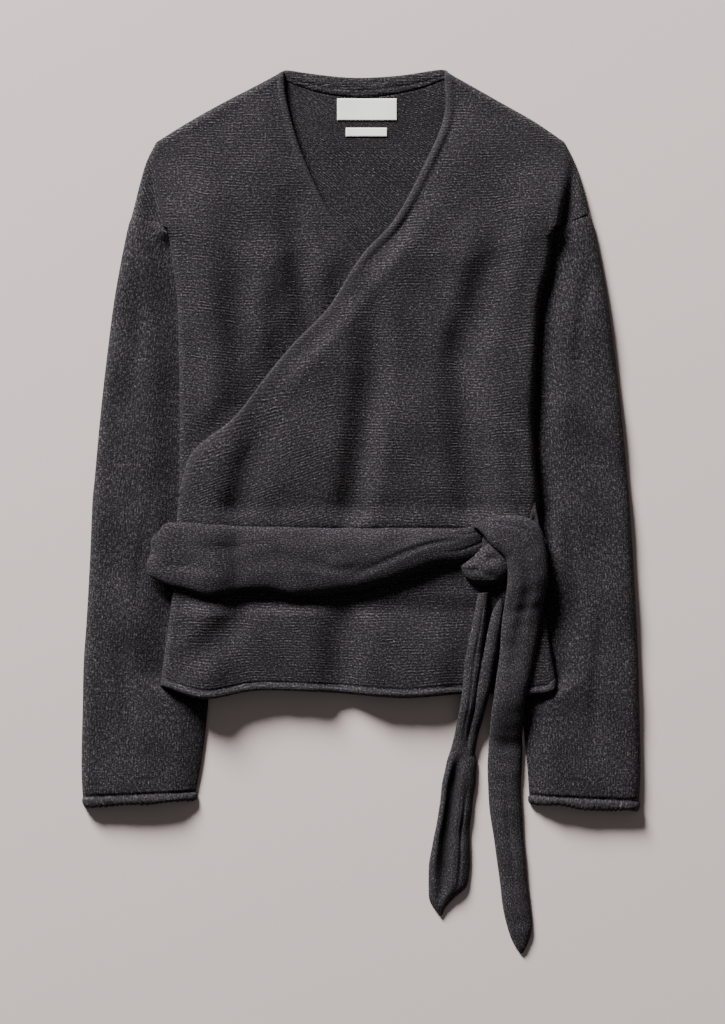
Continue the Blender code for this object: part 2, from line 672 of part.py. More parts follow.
def make_sash_back(material):
    """The hidden stretch, from one side's turn under the back to the other's."""
    breaks = ramp_crossings()
    xs = np.array([-165] + breaks[:2] + [-60, 0, 60] + breaks[2:] + [150], float)
    at = np.column_stack([xs, np.full(len(xs), -40.0)])
    z = over_sleeves(at) + WALL
    depth = 6.15 - WALL / 2
    left_x, left_z = quarter_turn(SASH_WRAP_LEFT, -1, SASH_REACH + 2, depth, False)
    right_x, right_z = quarter_turn(SASH_WRAP_RIGHT, 1, SASH_REACH + 2, depth, False)
    level = SLEEVE_STACK + WALL
    xs = np.concatenate([left_x[::-1], xs, right_x])
    z = np.concatenate([left_z[::-1] - left_z[0] + level, z, right_z - right_z[0] + level])
    widths = np.full(len(xs), float(SASH_TOP - SASH_BOTTOM))
    widths[:5] = (24, 34, 44, 52, 58)
    widths[-5:] = (58, 52, 44, 36, 30)
    centre = (SASH_TOP + SASH_BOTTOM) / 2
    feet = np.column_stack([xs, np.full(len(xs), centre), z])[::-1]
    sections = [flat_bar(width, WALL) for width in widths[::-1]]
    return swept("sash_back", feet, sections, material, side=(0, 1, 0))


def make_tail(name, rows, material, squareness=2.6):
    rows = np.array(rows, float)
    sections = [arch(width, height, squareness) for width, height in rows[:, 3:]]
    return swept(name, rows[:, :3], sections, material)


def main():
    clear_scene()
    wool = fabric("wool_knit", WOOL, 0.95)
    inside_wool = fabric("wool_knit_inside", WOOL_INSIDE, 0.95)
    jersey = fabric("wool_jersey", JERSEY, 0.92)
    weave = fabric("label_weave", LABEL_WEAVE, 0.8)
    lines = body_lines()
    parts = [
        make_back(lines, inside_wool),
        make_front_under(lines, wool),
        make_front_over(lines, wool),
        make_neckband(jersey),
        make_label("label_main", MAIN_LABEL, weave),
        make_label("label_small", SMALL_LABEL, weave),
        make_sleeve("sleeve_right", SLEEVE_RIGHT, 1, wool),
        make_sleeve("sleeve_left", SLEEVE_LEFT, -1, wool),
        make_sash_front(jersey),
        make_sash_side(jersey),
        make_sash_back(jersey),
        make_tail("knot", KNOT, jersey),
        make_tail("knot_loop", KNOT_LOOP, jersey),
        make_tail("tail_right", TAIL_RIGHT, jersey),
        make_tail("tail_left", TAIL_LEFT, jersey),
        make_tail("tail_left_fold", TAIL_LEFT_FOLD, jersey),
    ]
    root = bpy.data.objects.new("cardigan", None)
    bpy.context.scene.collection.objects.link(root)
    for part in parts:
        part.parent = root


main()
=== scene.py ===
import bpy
import numpy as np
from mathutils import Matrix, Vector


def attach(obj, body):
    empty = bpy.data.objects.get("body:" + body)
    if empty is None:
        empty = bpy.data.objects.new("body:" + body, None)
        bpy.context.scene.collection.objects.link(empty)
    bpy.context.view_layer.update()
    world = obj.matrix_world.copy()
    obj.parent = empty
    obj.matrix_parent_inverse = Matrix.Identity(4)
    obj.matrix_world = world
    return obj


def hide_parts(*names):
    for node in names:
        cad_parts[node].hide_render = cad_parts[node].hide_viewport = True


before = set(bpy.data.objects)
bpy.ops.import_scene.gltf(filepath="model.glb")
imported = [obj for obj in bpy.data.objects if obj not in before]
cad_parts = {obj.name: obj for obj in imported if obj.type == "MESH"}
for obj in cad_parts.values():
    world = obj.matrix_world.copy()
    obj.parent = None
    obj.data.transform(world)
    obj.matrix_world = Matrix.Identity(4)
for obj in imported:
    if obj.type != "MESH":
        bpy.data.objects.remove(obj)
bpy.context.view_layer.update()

# A wrap cardigan in charcoal wool knit, laid flat with its sash tied. Numbers are millimetres
# in the frame's own axes: X to the right, Y to the neck, Z up from the floor.

mm = 0.001
print("frame: loaded", len(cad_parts), "nodes")

cloth = {
    "wall": 2.5,            # thickness of the knit
    "layer": 3.0,           # one wall and the air above it
    "sleeveStack": 6.0,     # what lies on a flattened sleeve starts this high
    "rowPitch": 2.6,        # one knitted row
    "rowRelief": 0.2,       # how far the purl rows stand up
    "steepTurn": ((0.42, 0.91), (-0.91, 0.42)),      # a turn by 65 degrees
}


# Lines in plan


def ease(t):
    # 0 below 0, 1 above 1, and the smooth cubic 3t^2 - 2t^3 between.
    t = np.clip(t, 0.0, 1.0)
    return t * t * (3.0 - 2.0 * t)


def curveThrough(points, step):
    # A Catmull-Rom curve through the points, cut at about the step.
    points = np.array(points, float)
    hull = np.vstack([2 * points[0] - points[1], points, 2 * points[-1] - points[-2]])
    rows = []
    for k in range(len(points) - 1):
        before, start, end, after = hull[k:k + 4]
        count = max(1, int(round(np.linalg.norm((end - start)[:2]) / step)))
        t = np.arange(count)[:, None] / count
        rows.append(0.5 * (2 * start + (end - before) * t
                           + (2 * before - 5 * start + 4 * end - after) * t ** 2
                           + (3 * start - before - 3 * end + after) * t ** 3))
    rows.append(points[-1:])
    return np.vstack(rows)


def xAt(line, y):
    # Where a line that runs down the picture crosses each height.
    return np.interp(-y, -line[:, 1], line[:, 0])


def nearestOn(x, y, line):
    # Signed distance from each point to a polyline, + to the left of its heading, and the
    # line's further columns there.
    best = np.full(x.shape, np.inf)
    sign = np.ones(x.shape)
    extra = np.zeros(x.shape + (max(line.shape[1] - 2, 0),))
    for start, end in zip(line[:-1], line[1:]):
        dx, dy = end[:2] - start[:2]
        length = max(dx * dx + dy * dy, 1e-9)
        share = np.clip(((x - start[0]) * dx + (y - start[1]) * dy) / length, 0, 1)
        offX = x - start[0] - share * dx
        offY = y - start[1] - share * dy
        distance = np.hypot(offX, offY)
        closer = distance < best
        best = np.where(closer, distance, best)
        sign = np.where(closer, np.where(dx * offY - dy * offX >= 0, 1.0, -1.0), sign)
        if extra.shape[-1]:
            value = start[2:] + share[..., None] * (end[2:] - start[2:])
            extra = np.where(closer[..., None], value, extra)
    return best * sign, extra


def away(x, y, *lines):
    # Distance from each point to the nearest of several lines.
    return np.min([np.abs(nearestOn(x, y, line)[0]) for line in lines], axis=0)


def insideOf(x, y, outline):
    # True for each point that lies inside a closed outline (even-odd rule).
    result = np.zeros(x.shape, bool)
    for start, end in zip(outline, np.roll(outline, -1, axis=0)):
        rise = end[1] - start[1]
        crosses = (start[1] > y) != (end[1] > y)
        result ^= crosses & (x < start[0] + (y - start[1]) * (end[0] - start[0]) / (rise or 1.0))
    return result


# The garment's outline. Each line runs down the picture, as (across, up). The drops are the
# outer edges of the dropped shoulders, and the folds are where they turn down from the body.

outline = {
    "shoulderRight": ((77, 407), (100, 394), (130, 377), (160, 360), (188, 341)),
    "shoulderLeft": ((-71, 407), (-95, 394), (-128, 377), (-160, 359), (-189, 341)),
    "dropRight": ((188, 341), (197, 323), (204, 303), (211, 275)),
    "dropLeft": ((-189, 341), (-198, 323), (-204, 303), (-211, 275)),
    "sideRight": ((178, 261), (174, 225), (165, 188), (160, 93), (161, 46),
                  (164, 8), (158, -14), (157, -62), (168, -88), (181, -160)),
    "sideLeft": ((-178, 261), (-173, 225), (-169, 188), (-167, 93), (-167, 46),
                 (-169, 0), (-174, -76), (-185, -160)),
    "hem": ((-185, -160), (-144, -172), (-100, -165), (-60, -165), (-10, -168),
            (40, -171), (92, -168), (167, -168), (181, -160)),
    "overEdge": ((77, 407), (76, 362), (54, 311), (30, 268), (0, 235), (-30, 188), (-62, 155),
                 (-87, 125), (-116, 87), (-143, 66), (-158, 50), (-167, 18)),
    "underEdge": ((-71, 407), (-68, 377), (-54, 329), (-30, 277), (-2, 236), (30, 188),
                  (62, 155), (87, 125), (116, 87), (143, 66), (156, 50), (163, 18)),
    "foldRight": ((188, 341), (187, 312), (182, 285), (178, 261)),
    "foldLeft": ((-188, 341), (-187, 312), (-182, 285), (-178, 261)),
}
lineStep = 6.0
wrapEnd = 16                 # the crossed edges meet the side lines just above this height
lines = {name: curveThrough(points, lineStep) for name, points in outline.items()}
for hand in ("Right", "Left"):
    sideLine = lines["side" + hand]
    lines["lowSide" + hand] = sideLine[sideLine[:, 1] < wrapEnd]
    lines["edge" + hand] = np.vstack([lines["fold" + hand], sideLine[1:]])
    lines["shoulderDrop" + hand] = np.vstack([lines["shoulder" + hand], lines["drop" + hand][1:]])
    lines["body" + hand] = np.vstack([lines["shoulderDrop" + hand], sideLine])
bodySides = [lines[part + hand] for hand in ("Right", "Left")
             for part in ("shoulderDrop", "side")]             # without the armhole seams
lines["underRight"] = np.vstack([lines["underEdge"][:-1], lines["lowSideRight"]])
lines["overLeft"] = np.vstack([lines["overEdge"][:-1], lines["lowSideLeft"]])

sleeves = {
    # one row for each line across: outer x, outer y, inner x, inner y
    1: ((211, 273.6, 90, 225), (216, 258, 92, 210), (227, 200, 101, 175), (235, 139, 112, 130),
        (241, 84, 126, 78), (246, 29, 138, 29), (248, 8, 140, 8), (251, -40, 140, -40),
        (254, -96, 140, -96), (256, -140, 145, -145), (257, -185, 149, -188),
        (258, -229, 153, -229), (257, -262, 155, -258), (255, -278, 156, -270)),
    -1: ((-211, 273.6, -88, 225), (-216, 258, -90, 210), (-227, 200, -99, 175),
         (-235, 139, -110, 130), (-241, 84, -122, 78), (-246, 29, -133, 29), (-248, 8, -136, 8),
         (-250, -40, -136, -40), (-253, -96, -136, -96), (-256, -140, -139, -145),
         (-257, -185, -142, -188), (-258, -229, -147, -229), (-257, -260, -152, -256),
         (-254, -274, -153, -267)),
}

sash = {
    "top": -12.0, "bottom": -74.0,
    "clear": 1.2,            # air beside the hidden back stretch
    "ramp": 18.0,            # the body climbs over the hidden back stretch within this distance
    "height": 5.0,
    "wrapLeft": -172.0, "wrapRight": 156.0,      # where it starts to turn round the sides
    "reach": 12.0,           # how far the turns stand out
}


# Heights of the stack


def rampShare(x, y, high, low, far):
    # 1 beyond the high line, 0 short of the low line, and half eased between them.
    beyondHigh = insideOf(x, y, np.vstack([high, far]))
    beyondLow = insideOf(x, y, np.vstack([low, far]))
    toHigh, toLow = away(x, y, high), away(x, y, low)
    share = toLow / np.maximum(toLow + toHigh, 1e-9)
    share = 0.5 * share + 0.5 * ease(share)
    return np.where(beyondHigh, 1.0, np.where(beyondLow, share, 0.0))


sleeveRamp = {
    "clear": 1.2,            # air between the sleeve's inner edge and the body on top of it
    "run": 22.0,             # the body climbs over the sleeve within this distance
    "corner": (178, 261),
    "shoulder": ((188, 341), (122, 300), (60, 240)),     # the climb starts here above the armhole
    "far": ((400, -300), (400, 345)),            # closes the outline well outside the body
}


def sleeveRampLines(side):
    # The lines where the body starts to climb over a hidden sleeve and where it is on it.
    clear, run = sleeveRamp["clear"], sleeveRamp["run"]
    inner = np.array(sleeves[side], float)[:, 2:]
    high = inner - (side * clear, 0)
    high[0] = inner[0] + (-side * clear, 2 * clear)
    low = inner[1:] - (side * (run + clear), 0)
    corner = np.array([sleeveRamp["corner"]], float) * (side, 1) + (0, clear)
    shoulder = np.array(sleeveRamp["shoulder"], float) * (side, 1)
    return np.vstack([corner, high]), np.vstack([shoulder, low])


def shoulderStep(x, y, side, run):
    # 1 on the body and 0 past the fold where it drops to the shoulder piece.
    line = lines["foldRight" if side > 0 else "foldLeft"][::-1]
    fold = np.interp(y, line[:, 1], side * line[:, 0])
    return np.where(y > body["armholeTop"], 1 - ease((side * x - fold) / run), 1.0)


def overSleeves(x, y):
    # Height of what lies on the hidden part of the sleeves.
    height = np.zeros(x.shape)
    for side in (1, -1):
        high, low = sleeveRampLines(side)
        share = rampShare(x, y, high, low, np.array(sleeveRamp["far"]) * (side, 1))
        height += cloth["sleeveStack"] * share * shoulderStep(x, y, side, body["shoulderRun"])
    return height


def overSashBack(y):
    # Height that the back stretch of the sash adds under the body.
    off = np.maximum(y - (sash["top"] + sash["clear"]), (sash["bottom"] - sash["clear"]) - y)
    return cloth["layer"] * ease(1 - off / sash["ramp"])


def backUnderside(x, y):
    return overSleeves(x, y) + overSashBack(y)


body = {
    "loft": 12.5,            # how far the fronts puff up between their valleys
    "sidePuff": 9.0,         # how far a sleeve puffs up away from the body
    "puffRun": 31.0,         # the sleeve sinks to the body's edge within this distance
    "sideRadius": 9.0,       # the fronts round down to the sides within this distance
    "lowerEdge": 1.2,        # a folded side ends this far above what is under it
    "shoulderRun": 9.0,      # past its fold the shoulder drops within this distance
    "turnRun": 3.0,          # and its stitches turn within this one
    "armholeTop": 260.5,     # the sleeves start here
    "firstRow": 406.4, "lastRow": -168.0,        # of the fronts' knitting, before it bends
    "hemStart": -100.0,      # from here down the rows bend to follow the hem
    "wrapClear": 1.5,        # the over front lies on the under one up to this far past its edge
    "wrapRun": 24.0,         # and comes down within this distance
    "wrapFar": ((400, -300), (-400, -300), (-400, 407)),
    # rolled edges: radius, height, fall behind the crest, crease
    "underRoll": (3.2, 2.4, 4.0, 0.3), "hemRoll": (3.3, 2.1, 4.2, 0.8),
    "neckRoll": (4.2, 2.0, 5.6, 0.4), "wrapRoll": (6.0, 2.0, 30.0, 0.0),
    # valleys: half width to the left and right, then rows of across, up, depth (share of loft)
    "overValleys": (
        (28, 22, ((6, 222, 0.0), (10, 190, 0.35), (12, 130, 0.75), (4, 75, 0.95),
                  (-5, 2, 1.0))),
        (18, 26, ((-66, 118, 0.0), (-86, 84, 0.25), (-106, 34, 0.35), (-114, 2, 0.4))),
        (28, 30, ((132, 300, 0.0), (122, 235, 0.6), (108, 190, 0.85), (94, 139, 0.95),
                  (98, 75, 0.9), (104, 4, 1.0))),
        (22, 16, ((58, 300, 0.0), (30, 252, 0.35), (2, 214, 0.3), (-30, 176, 0.4),
                  (-62, 140, 0.4), (-90, 104, 0.2))),
        (30, 30, ((-14, -70, 0.8), (-17, -110, 1.0), (-18, -150, 1.0), (-16, -172, 0.9))),
        (24, 24, ((-104, -74, 0.35), (-118, -100, 0.5), (-140, -124, 0.5), (-168, -146, 0.2))),
        (46, 26, ((100, -70, 1.0), (108, -110, 1.0), (112, -172, 1.0))),
    ),
    "underValleys": (
        (26, 24, ((-119, 290, 0.0), (-113, 222, 0.6), (-110, 158, 0.95), (-107, 100, 1.0))),
        (22, 18, ((-70, 300, 0.0), (-62, 255, 0.7), (-54, 222, 1.0), (-48, 176, 1.0),
                  (-43, 150, 1.0))),
        (14, 16, ((-42, 300, 0.0), (-20, 262, 0.3), (0, 232, 0.3))),
    ),
}


def pastEdge(x, y, side):
    # How far out from the body's fold or side line a point lies.
    line = lines["edgeRight" if side > 0 else "edgeLeft"]
    return side * (x - xAt(line, y))


def sleevePuff(x, y, side, past=None):
    # The puff times an ease over the distance past the body's edge, less near the shoulder,
    # with a broad unevenness.
    past = pastEdge(x, y, side) if past is None else past
    out = ease((past + 1.5) / body["puffRun"])
    uneven = 0.85 + 0.15 * noiseField(x, y, 90.0, 21)
    return body["sidePuff"] * out * ease((356 - y) / 70) * uneven


def shoulderPuff(x, y):
    # The same puff on the dropped shoulders alone, which are part of the body.
    return sum(sleevePuff(x, y, side) * (1 - shoulderStep(x, y, side, body["shoulderRun"]))
               for side in (1, -1))


def bell(off, halfWidth):
    # A squared cosine: 1 at 0, and 0 from the half width on.
    return np.cos(0.5 * np.pi * np.clip(np.abs(off) / halfWidth, 0, 1)) ** 2


def foldBells(x, y, folds):
    # For each fold: its depth at each point, and a bell across it with its own half width on
    # each side.
    for leftWidth, rightWidth, rows in folds:
        off, depth = nearestOn(x, y, curveThrough(rows, lineStep))
        yield depth[..., 0], bell(off, np.where(off > 0, rightWidth, leftWidth))


def valleyShare(x, y, valleys):
    # What the valleys leave of the loft: for each, 1 less its depth times its bell.
    left = np.ones(x.shape)
    for depth, across in foldBells(x, y, valleys):
        left *= 1 - np.clip(depth, 0, 1) * across
    return left


def baseLoft(x, y):
    # The fronts' loft before their valleys: low at the shoulders, the hem and the sash.
    loft = 0.3 + 0.7 * ease(away(x, y, lines["shoulderRight"], lines["shoulderLeft"]) / 70)
    above = (0.6 + 0.4 * ease((y + 16) / 44)) * ease((y + 26) / 14)      # the sash holds it down
    belowRun = 20 + 46 * ease((x + 20) / 90)                             # longer to the right
    loft *= np.where(y > -40, above, ease((-77 - y) / belowRun))
    loft *= 0.85 + 0.15 * ease(away(x, y, lines["hem"]) / 30)
    for side in (1, -1):
        loft *= shoulderStep(x, y, side, body["shoulderRun"])
        least = 0.36 if side < 0 else 0.85                     # the right side stands up more
        loft *= least + (1 - least) * ease(-pastEdge(x, y, side) / 34)
    underTails = ease((x - 74) / 26) * ease((-60 - y) / 10)              # flat under the ends
    broad = 0.88 + 0.12 * noiseField(x, y, 120.0, 5)
    return body["loft"] * loft * (1 - 0.9 * underTails) * broad


def overLoft(x, y):
    edge = np.abs(nearestOn(x, y, lines["overEdge"])[0])
    loft = baseLoft(x, y) * (0.6 + 0.4 * ease(edge / 30))
    return loft * valleyShare(x, y, body["overValleys"])


def underLoft(x, y):
    edge = np.abs(nearestOn(x, y, lines["underEdge"])[0])
    wrap = np.abs(nearestOn(x, y, lines["overEdge"])[0])
    loft = baseLoft(x, y) * (0.45 + 0.55 * ease(edge / 34)) * (0.55 + 0.45 * ease(wrap / 26))
    return loft * valleyShare(x, y, body["underValleys"])


def overFloor(x, y):
    # Underside of the over front before its sides round down: it climbs over the under
    # front's edge.
    high, low = (lines["underEdge"] + (body[key], 0) for key in ("wrapClear", "wrapRun"))
    climb = rampShare(x, y, high, low, np.array(body["wrapFar"]))
    return (backUnderside(x, y) + cloth["layer"] * (1 + climb) + overLoft(x, y)
            + shoulderPuff(x, y))


def sideAway(x, y, *sides):
    # Distance to the outer edges. Above the armhole the body's side lines fade out, so that
    # the dropped shoulder isn't rounded where it meets the sleeve.
    shoulder = away(x, y, lines["shoulderDropRight"], lines["shoulderDropLeft"])
    return np.minimum(shoulder, away(x, y, *sides) + 0.6 * np.maximum(y - 251, 0))


def roundedSide(top, low, edge, radius):
    # A height that meets the low one at the edge by a quarter of an ellipse.
    t = np.clip(1 - edge / radius, 0, 1)
    return low + (top - low) * np.sqrt(1 - t * t)


# Meshes


def addSurface(name, points, faces, uv, material, attributes=None):
    # A mesh from arrays: corner points in mm, faces of four corners, and a UV in mm for each
    # corner point. It rides on the garment and takes its finish from the slot.
    mesh = bpy.data.meshes.new(name)
    mesh.vertices.add(len(points))
    mesh.vertices.foreach_set("co", (points * mm).astype(np.float32).ravel())
    mesh.loops.add(faces.size)
    mesh.loops.foreach_set("vertex_index", faces.ravel().astype(np.int32))
    mesh.polygons.add(len(faces))
    mesh.polygons.foreach_set("loop_start", (np.arange(len(faces)) * faces.shape[1]))
    mesh.update(calc_edges=True)
    layer = mesh.uv_layers.new(name="UVMap")
    layer.data.foreach_set("uv", uv[faces.ravel()].astype(np.float32).ravel())
    for label, values in (attributes or {}).items():
        made = mesh.attributes.new(label, "FLOAT", "POINT")
        made.data.foreach_set("value", values.astype(np.float32).ravel())
    mesh.materials.append(material)
    mesh.validate()
    mesh.shade_smooth()
    piece = bpy.data.objects.new(name, mesh)
    bpy.context.scene.collection.objects.link(piece)
    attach(piece, "root")
    print(name, "made:", len(points), "points")
    return piece


def gridFaces(rows, columns, offset=0, flip=False, closed=False):
    # The quads of a grid of rows by columns, in order; closed joins the last column to the
    # first.
    r = np.arange(rows - 1)[:, None]
    c = np.arange(columns if closed else columns - 1)[None, :]
    n = (c + 1) % columns
    quads = np.stack([r * columns + c, (r + 1) * columns + c, (r + 1) * columns + n,
                      r * columns + n], axis=-1).reshape(-1, 4)
    if flip:
        quads = quads[:, ::-1]
    return quads + offset


def joinRings(ring, size):
    # The quads between a ring of corners and the same ring one skin further on.
    nextRing = np.roll(ring, -1)
    return np.stack([ring, ring + size, nextRing + size, nextRing], axis=-1)


def rimFaces(rows, columns):
    # The quads that join the edge of a top grid to the same grid below it.
    index = np.arange(rows * columns).reshape(rows, columns)
    ring = np.concatenate([index[:, 0], index[-1, 1:], index[-2::-1, -1], index[0, -2:0:-1]])
    return joinRings(ring, rows * columns)


def capFaces(around, offset):
    # A ladder of quads that closes a ring of corners.
    near = np.arange(around // 2 - 1)
    far = around - 1 - near
    return np.stack([near, near + 1, far - 1, far], axis=-1) + offset


def readTable(table, at, column=1):
    # A table's column, read at places in its first one.
    table = np.array(table, float)
    return np.interp(at, table[:, 0], table[:, column])


def noiseField(x, y, scale, seed):
    # A soft irregular field, about -1 to 1: a sum of eight sine waves whose directions,
    # lengths and phases come from the seed.
    random = np.random.default_rng(seed)
    total = np.zeros(x.shape)
    for k in range(8):
        turn = random.uniform(0, 2 * np.pi)
        length = scale * random.uniform(0.6, 1.7)
        total += np.sin(2 * np.pi * (x * np.cos(turn) + y * np.sin(turn)) / length
                        + random.uniform(0, 2 * np.pi))
    return total / 3.2


def panelGrid(leftLine, rightLine, rowHeights, leftSteps, rightSteps, middle, rowCurve,
              tuck=0.0):
    # Plan positions of a panel. Each row starts at its own height and is bent by the row
    # curve; along it, columns stand at fixed steps from both side lines and evenly between.
    # The bend and the side lines depend on each other, so five rounds settle them.
    leftSteps, rightSteps = np.array(leftSteps), np.array(rightSteps)
    share = np.arange(1, middle) / middle
    y0 = np.repeat(rowHeights[:, None], len(leftSteps) + len(rightSteps) + middle - 1, axis=1)
    y = y0.copy()
    for _ in range(5):
        left, right = xAt(leftLine, y) + tuck, xAt(rightLine, y) - tuck
        width = np.maximum(right - left, 0.6)
        scale = np.minimum(1, width / (1.25 * (leftSteps[-1] + rightSteps[-1])))
        start, end = leftSteps[-1] * scale, width - rightSteps[-1] * scale
        count, last = len(leftSteps), len(leftSteps) + middle - 1
        offset = np.empty_like(y)
        offset[:, :count] = leftSteps * scale[:, :count]
        offset[:, count:last] = start[:, count:last] + (end - start)[:, count:last] * share
        offset[:, last:] = width[:, last:] - rightSteps[::-1] * scale[:, last:]
        x = left + offset
        y = y0 + rowCurve(x, y0)
    return x, y, y0


def rowSpacing(*runs):
    # Row heights down a panel, from runs of (start, end, step).
    parts = []
    for start, end, step in runs:
        count = max(1, int(round((start - end) / step)))
        parts.append(start - np.arange(count) * (start - end) / count)
    parts.append(np.array([runs[-1][1]]))
    return np.concatenate(parts)


def hemCurve(x, y0):
    # How far the rows near the hem bend down so that the last one follows the hem.
    line, last, start = lines["hem"], body["lastRow"], body["hemStart"]
    return (np.interp(x, line[:, 0], line[:, 1]) - last) * ease((start - y0) / (start - last))


def rowRelief(v, x, seed):
    # The purl rows: a sine along the panel, with rows a little uneven in height.
    uneven = 0.75 + 0.25 * noiseField(x * 0.35, v, 9.0, seed)
    return cloth["rowRelief"] * uneven * np.sin(2 * np.pi * v / cloth["rowPitch"])


def edgeRoll(off, radius, height, fall, crease, uneven=1.0):
    # A rolled edge: a quarter of an ellipse up to its crest, a cosine fall behind it over the
    # given distance, and a narrow crease that parts it from the cloth.
    rise = np.sqrt(1 - np.clip(1 - off / radius, 0, 1) ** 2)
    back = bell(np.maximum(off - radius, 0), fall)
    dip = np.exp(-((off - radius - fall) / (0.3 * radius)) ** 2)
    return height * uneven * np.where(off < radius, rise, back) - crease * dip


def makePanel(name, plan, top, under, material, attributes=None, turned=None):
    # A cloth panel from its grid: the top and underside heights, joined round the rim. Its
    # rows run level but where turned is 1: there they run steeply, as on a dropped shoulder.
    x, y, y0 = plan
    rows, columns = x.shape
    upper = np.column_stack([x.ravel(), y.ravel(), top.ravel()])
    lower = np.column_stack([x.ravel(), y.ravel(), under.ravel()])
    faces = np.vstack([gridFaces(rows, columns), gridFaces(rows, columns, rows * columns, True),
                       rimFaces(rows, columns)])
    flat = np.column_stack([x.ravel(), y0.ravel()])
    if turned is not None:
        steep = flat @ np.array(cloth["steepTurn"])
        flat = np.where(turned.ravel()[:, None] > 0.5, steep, flat)
    uv = np.tile(flat, (2, 1))
    both = {label: np.tile(values.ravel(), 2) for label, values in (attributes or {}).items()}
    return addSurface(name, np.vstack([upper, lower]), faces, uv, material, both)


# Materials


def toLinear(code):
    # An sRGB hex colour as linear RGBA.
    channels = np.array([int(code[k:k + 2], 16) / 255 for k in (1, 3, 5)])
    bright = ((channels + 0.055) / 1.055) ** 2.4
    return (*np.where(channels <= 0.04045, channels / 12.92, bright), 1.0)


def addNode(tree, kind, inputs=None, **settings):
    # A node with its settings; each input is a value, or (node, output name) to link.
    node = tree.nodes.new("ShaderNode" + kind)
    for name, value in settings.items():
        setattr(node, name, value)
    for key, value in (inputs or {}).items():
        if isinstance(value, tuple) and len(value) == 2 and isinstance(value[0], bpy.types.Node):
            tree.links.new(value[0].outputs[value[1]], node.inputs[key])
        else:
            node.inputs[key].default_value = value
    return node


def newMaterial(name, roughness, specular, sheen):
    material = bpy.data.materials.new(name)
    material.use_nodes = True
    shader = material.node_tree.nodes["Principled BSDF"]
    shader.inputs["Roughness"].default_value = roughness
    shader.inputs["Specular IOR Level"].default_value = specular
    shader.inputs["Sheen Weight"].default_value = sheen
    shader.inputs["Sheen Roughness"].default_value = 0.6
    shader.inputs["Sheen Tint"].default_value = toLinear("#B9B6B4")
    return material, material.node_tree, shader


def rowLines(tree, place, placed, look):
    # A line along each knitted row, from -0.5 between rows to 0.5 on them. The rows wander:
    # two noises shift them. Gives the line and each row's number.
    wander = (placed, look["across"])
    for scale, detail, reach in ((0.03, 2.0, look["wobble"]), (0.22, 1.0, look["fineWobble"])):
        noise = addNode(tree, "TexNoise", {"Vector": (place, 0), "Scale": scale,
                                           "Detail": detail})
        shift = addNode(tree, "Math", {0: (noise, 0), 1: reach}, operation="MULTIPLY")
        wander = (addNode(tree, "Math", {0: wander, 1: (shift, 0)}, operation="ADD"), 0)
    row = addNode(tree, "Math", {0: wander, 1: look["rowPitch"]}, operation="DIVIDE")
    rowNumber = addNode(tree, "Math", {0: (row, 0)}, operation="FLOOR")
    turn = addNode(tree, "Math", {0: (row, 0), 1: 2 * np.pi}, operation="MULTIPLY")
    hump = addNode(tree, "Math", {0: (turn, 0)}, operation="COSINE")
    line = addNode(tree, "MapRange", {0: (hump, 0), 1: 0.6, 2: -1.0, 3: -0.5, 4: 0.5})
    return line, rowNumber


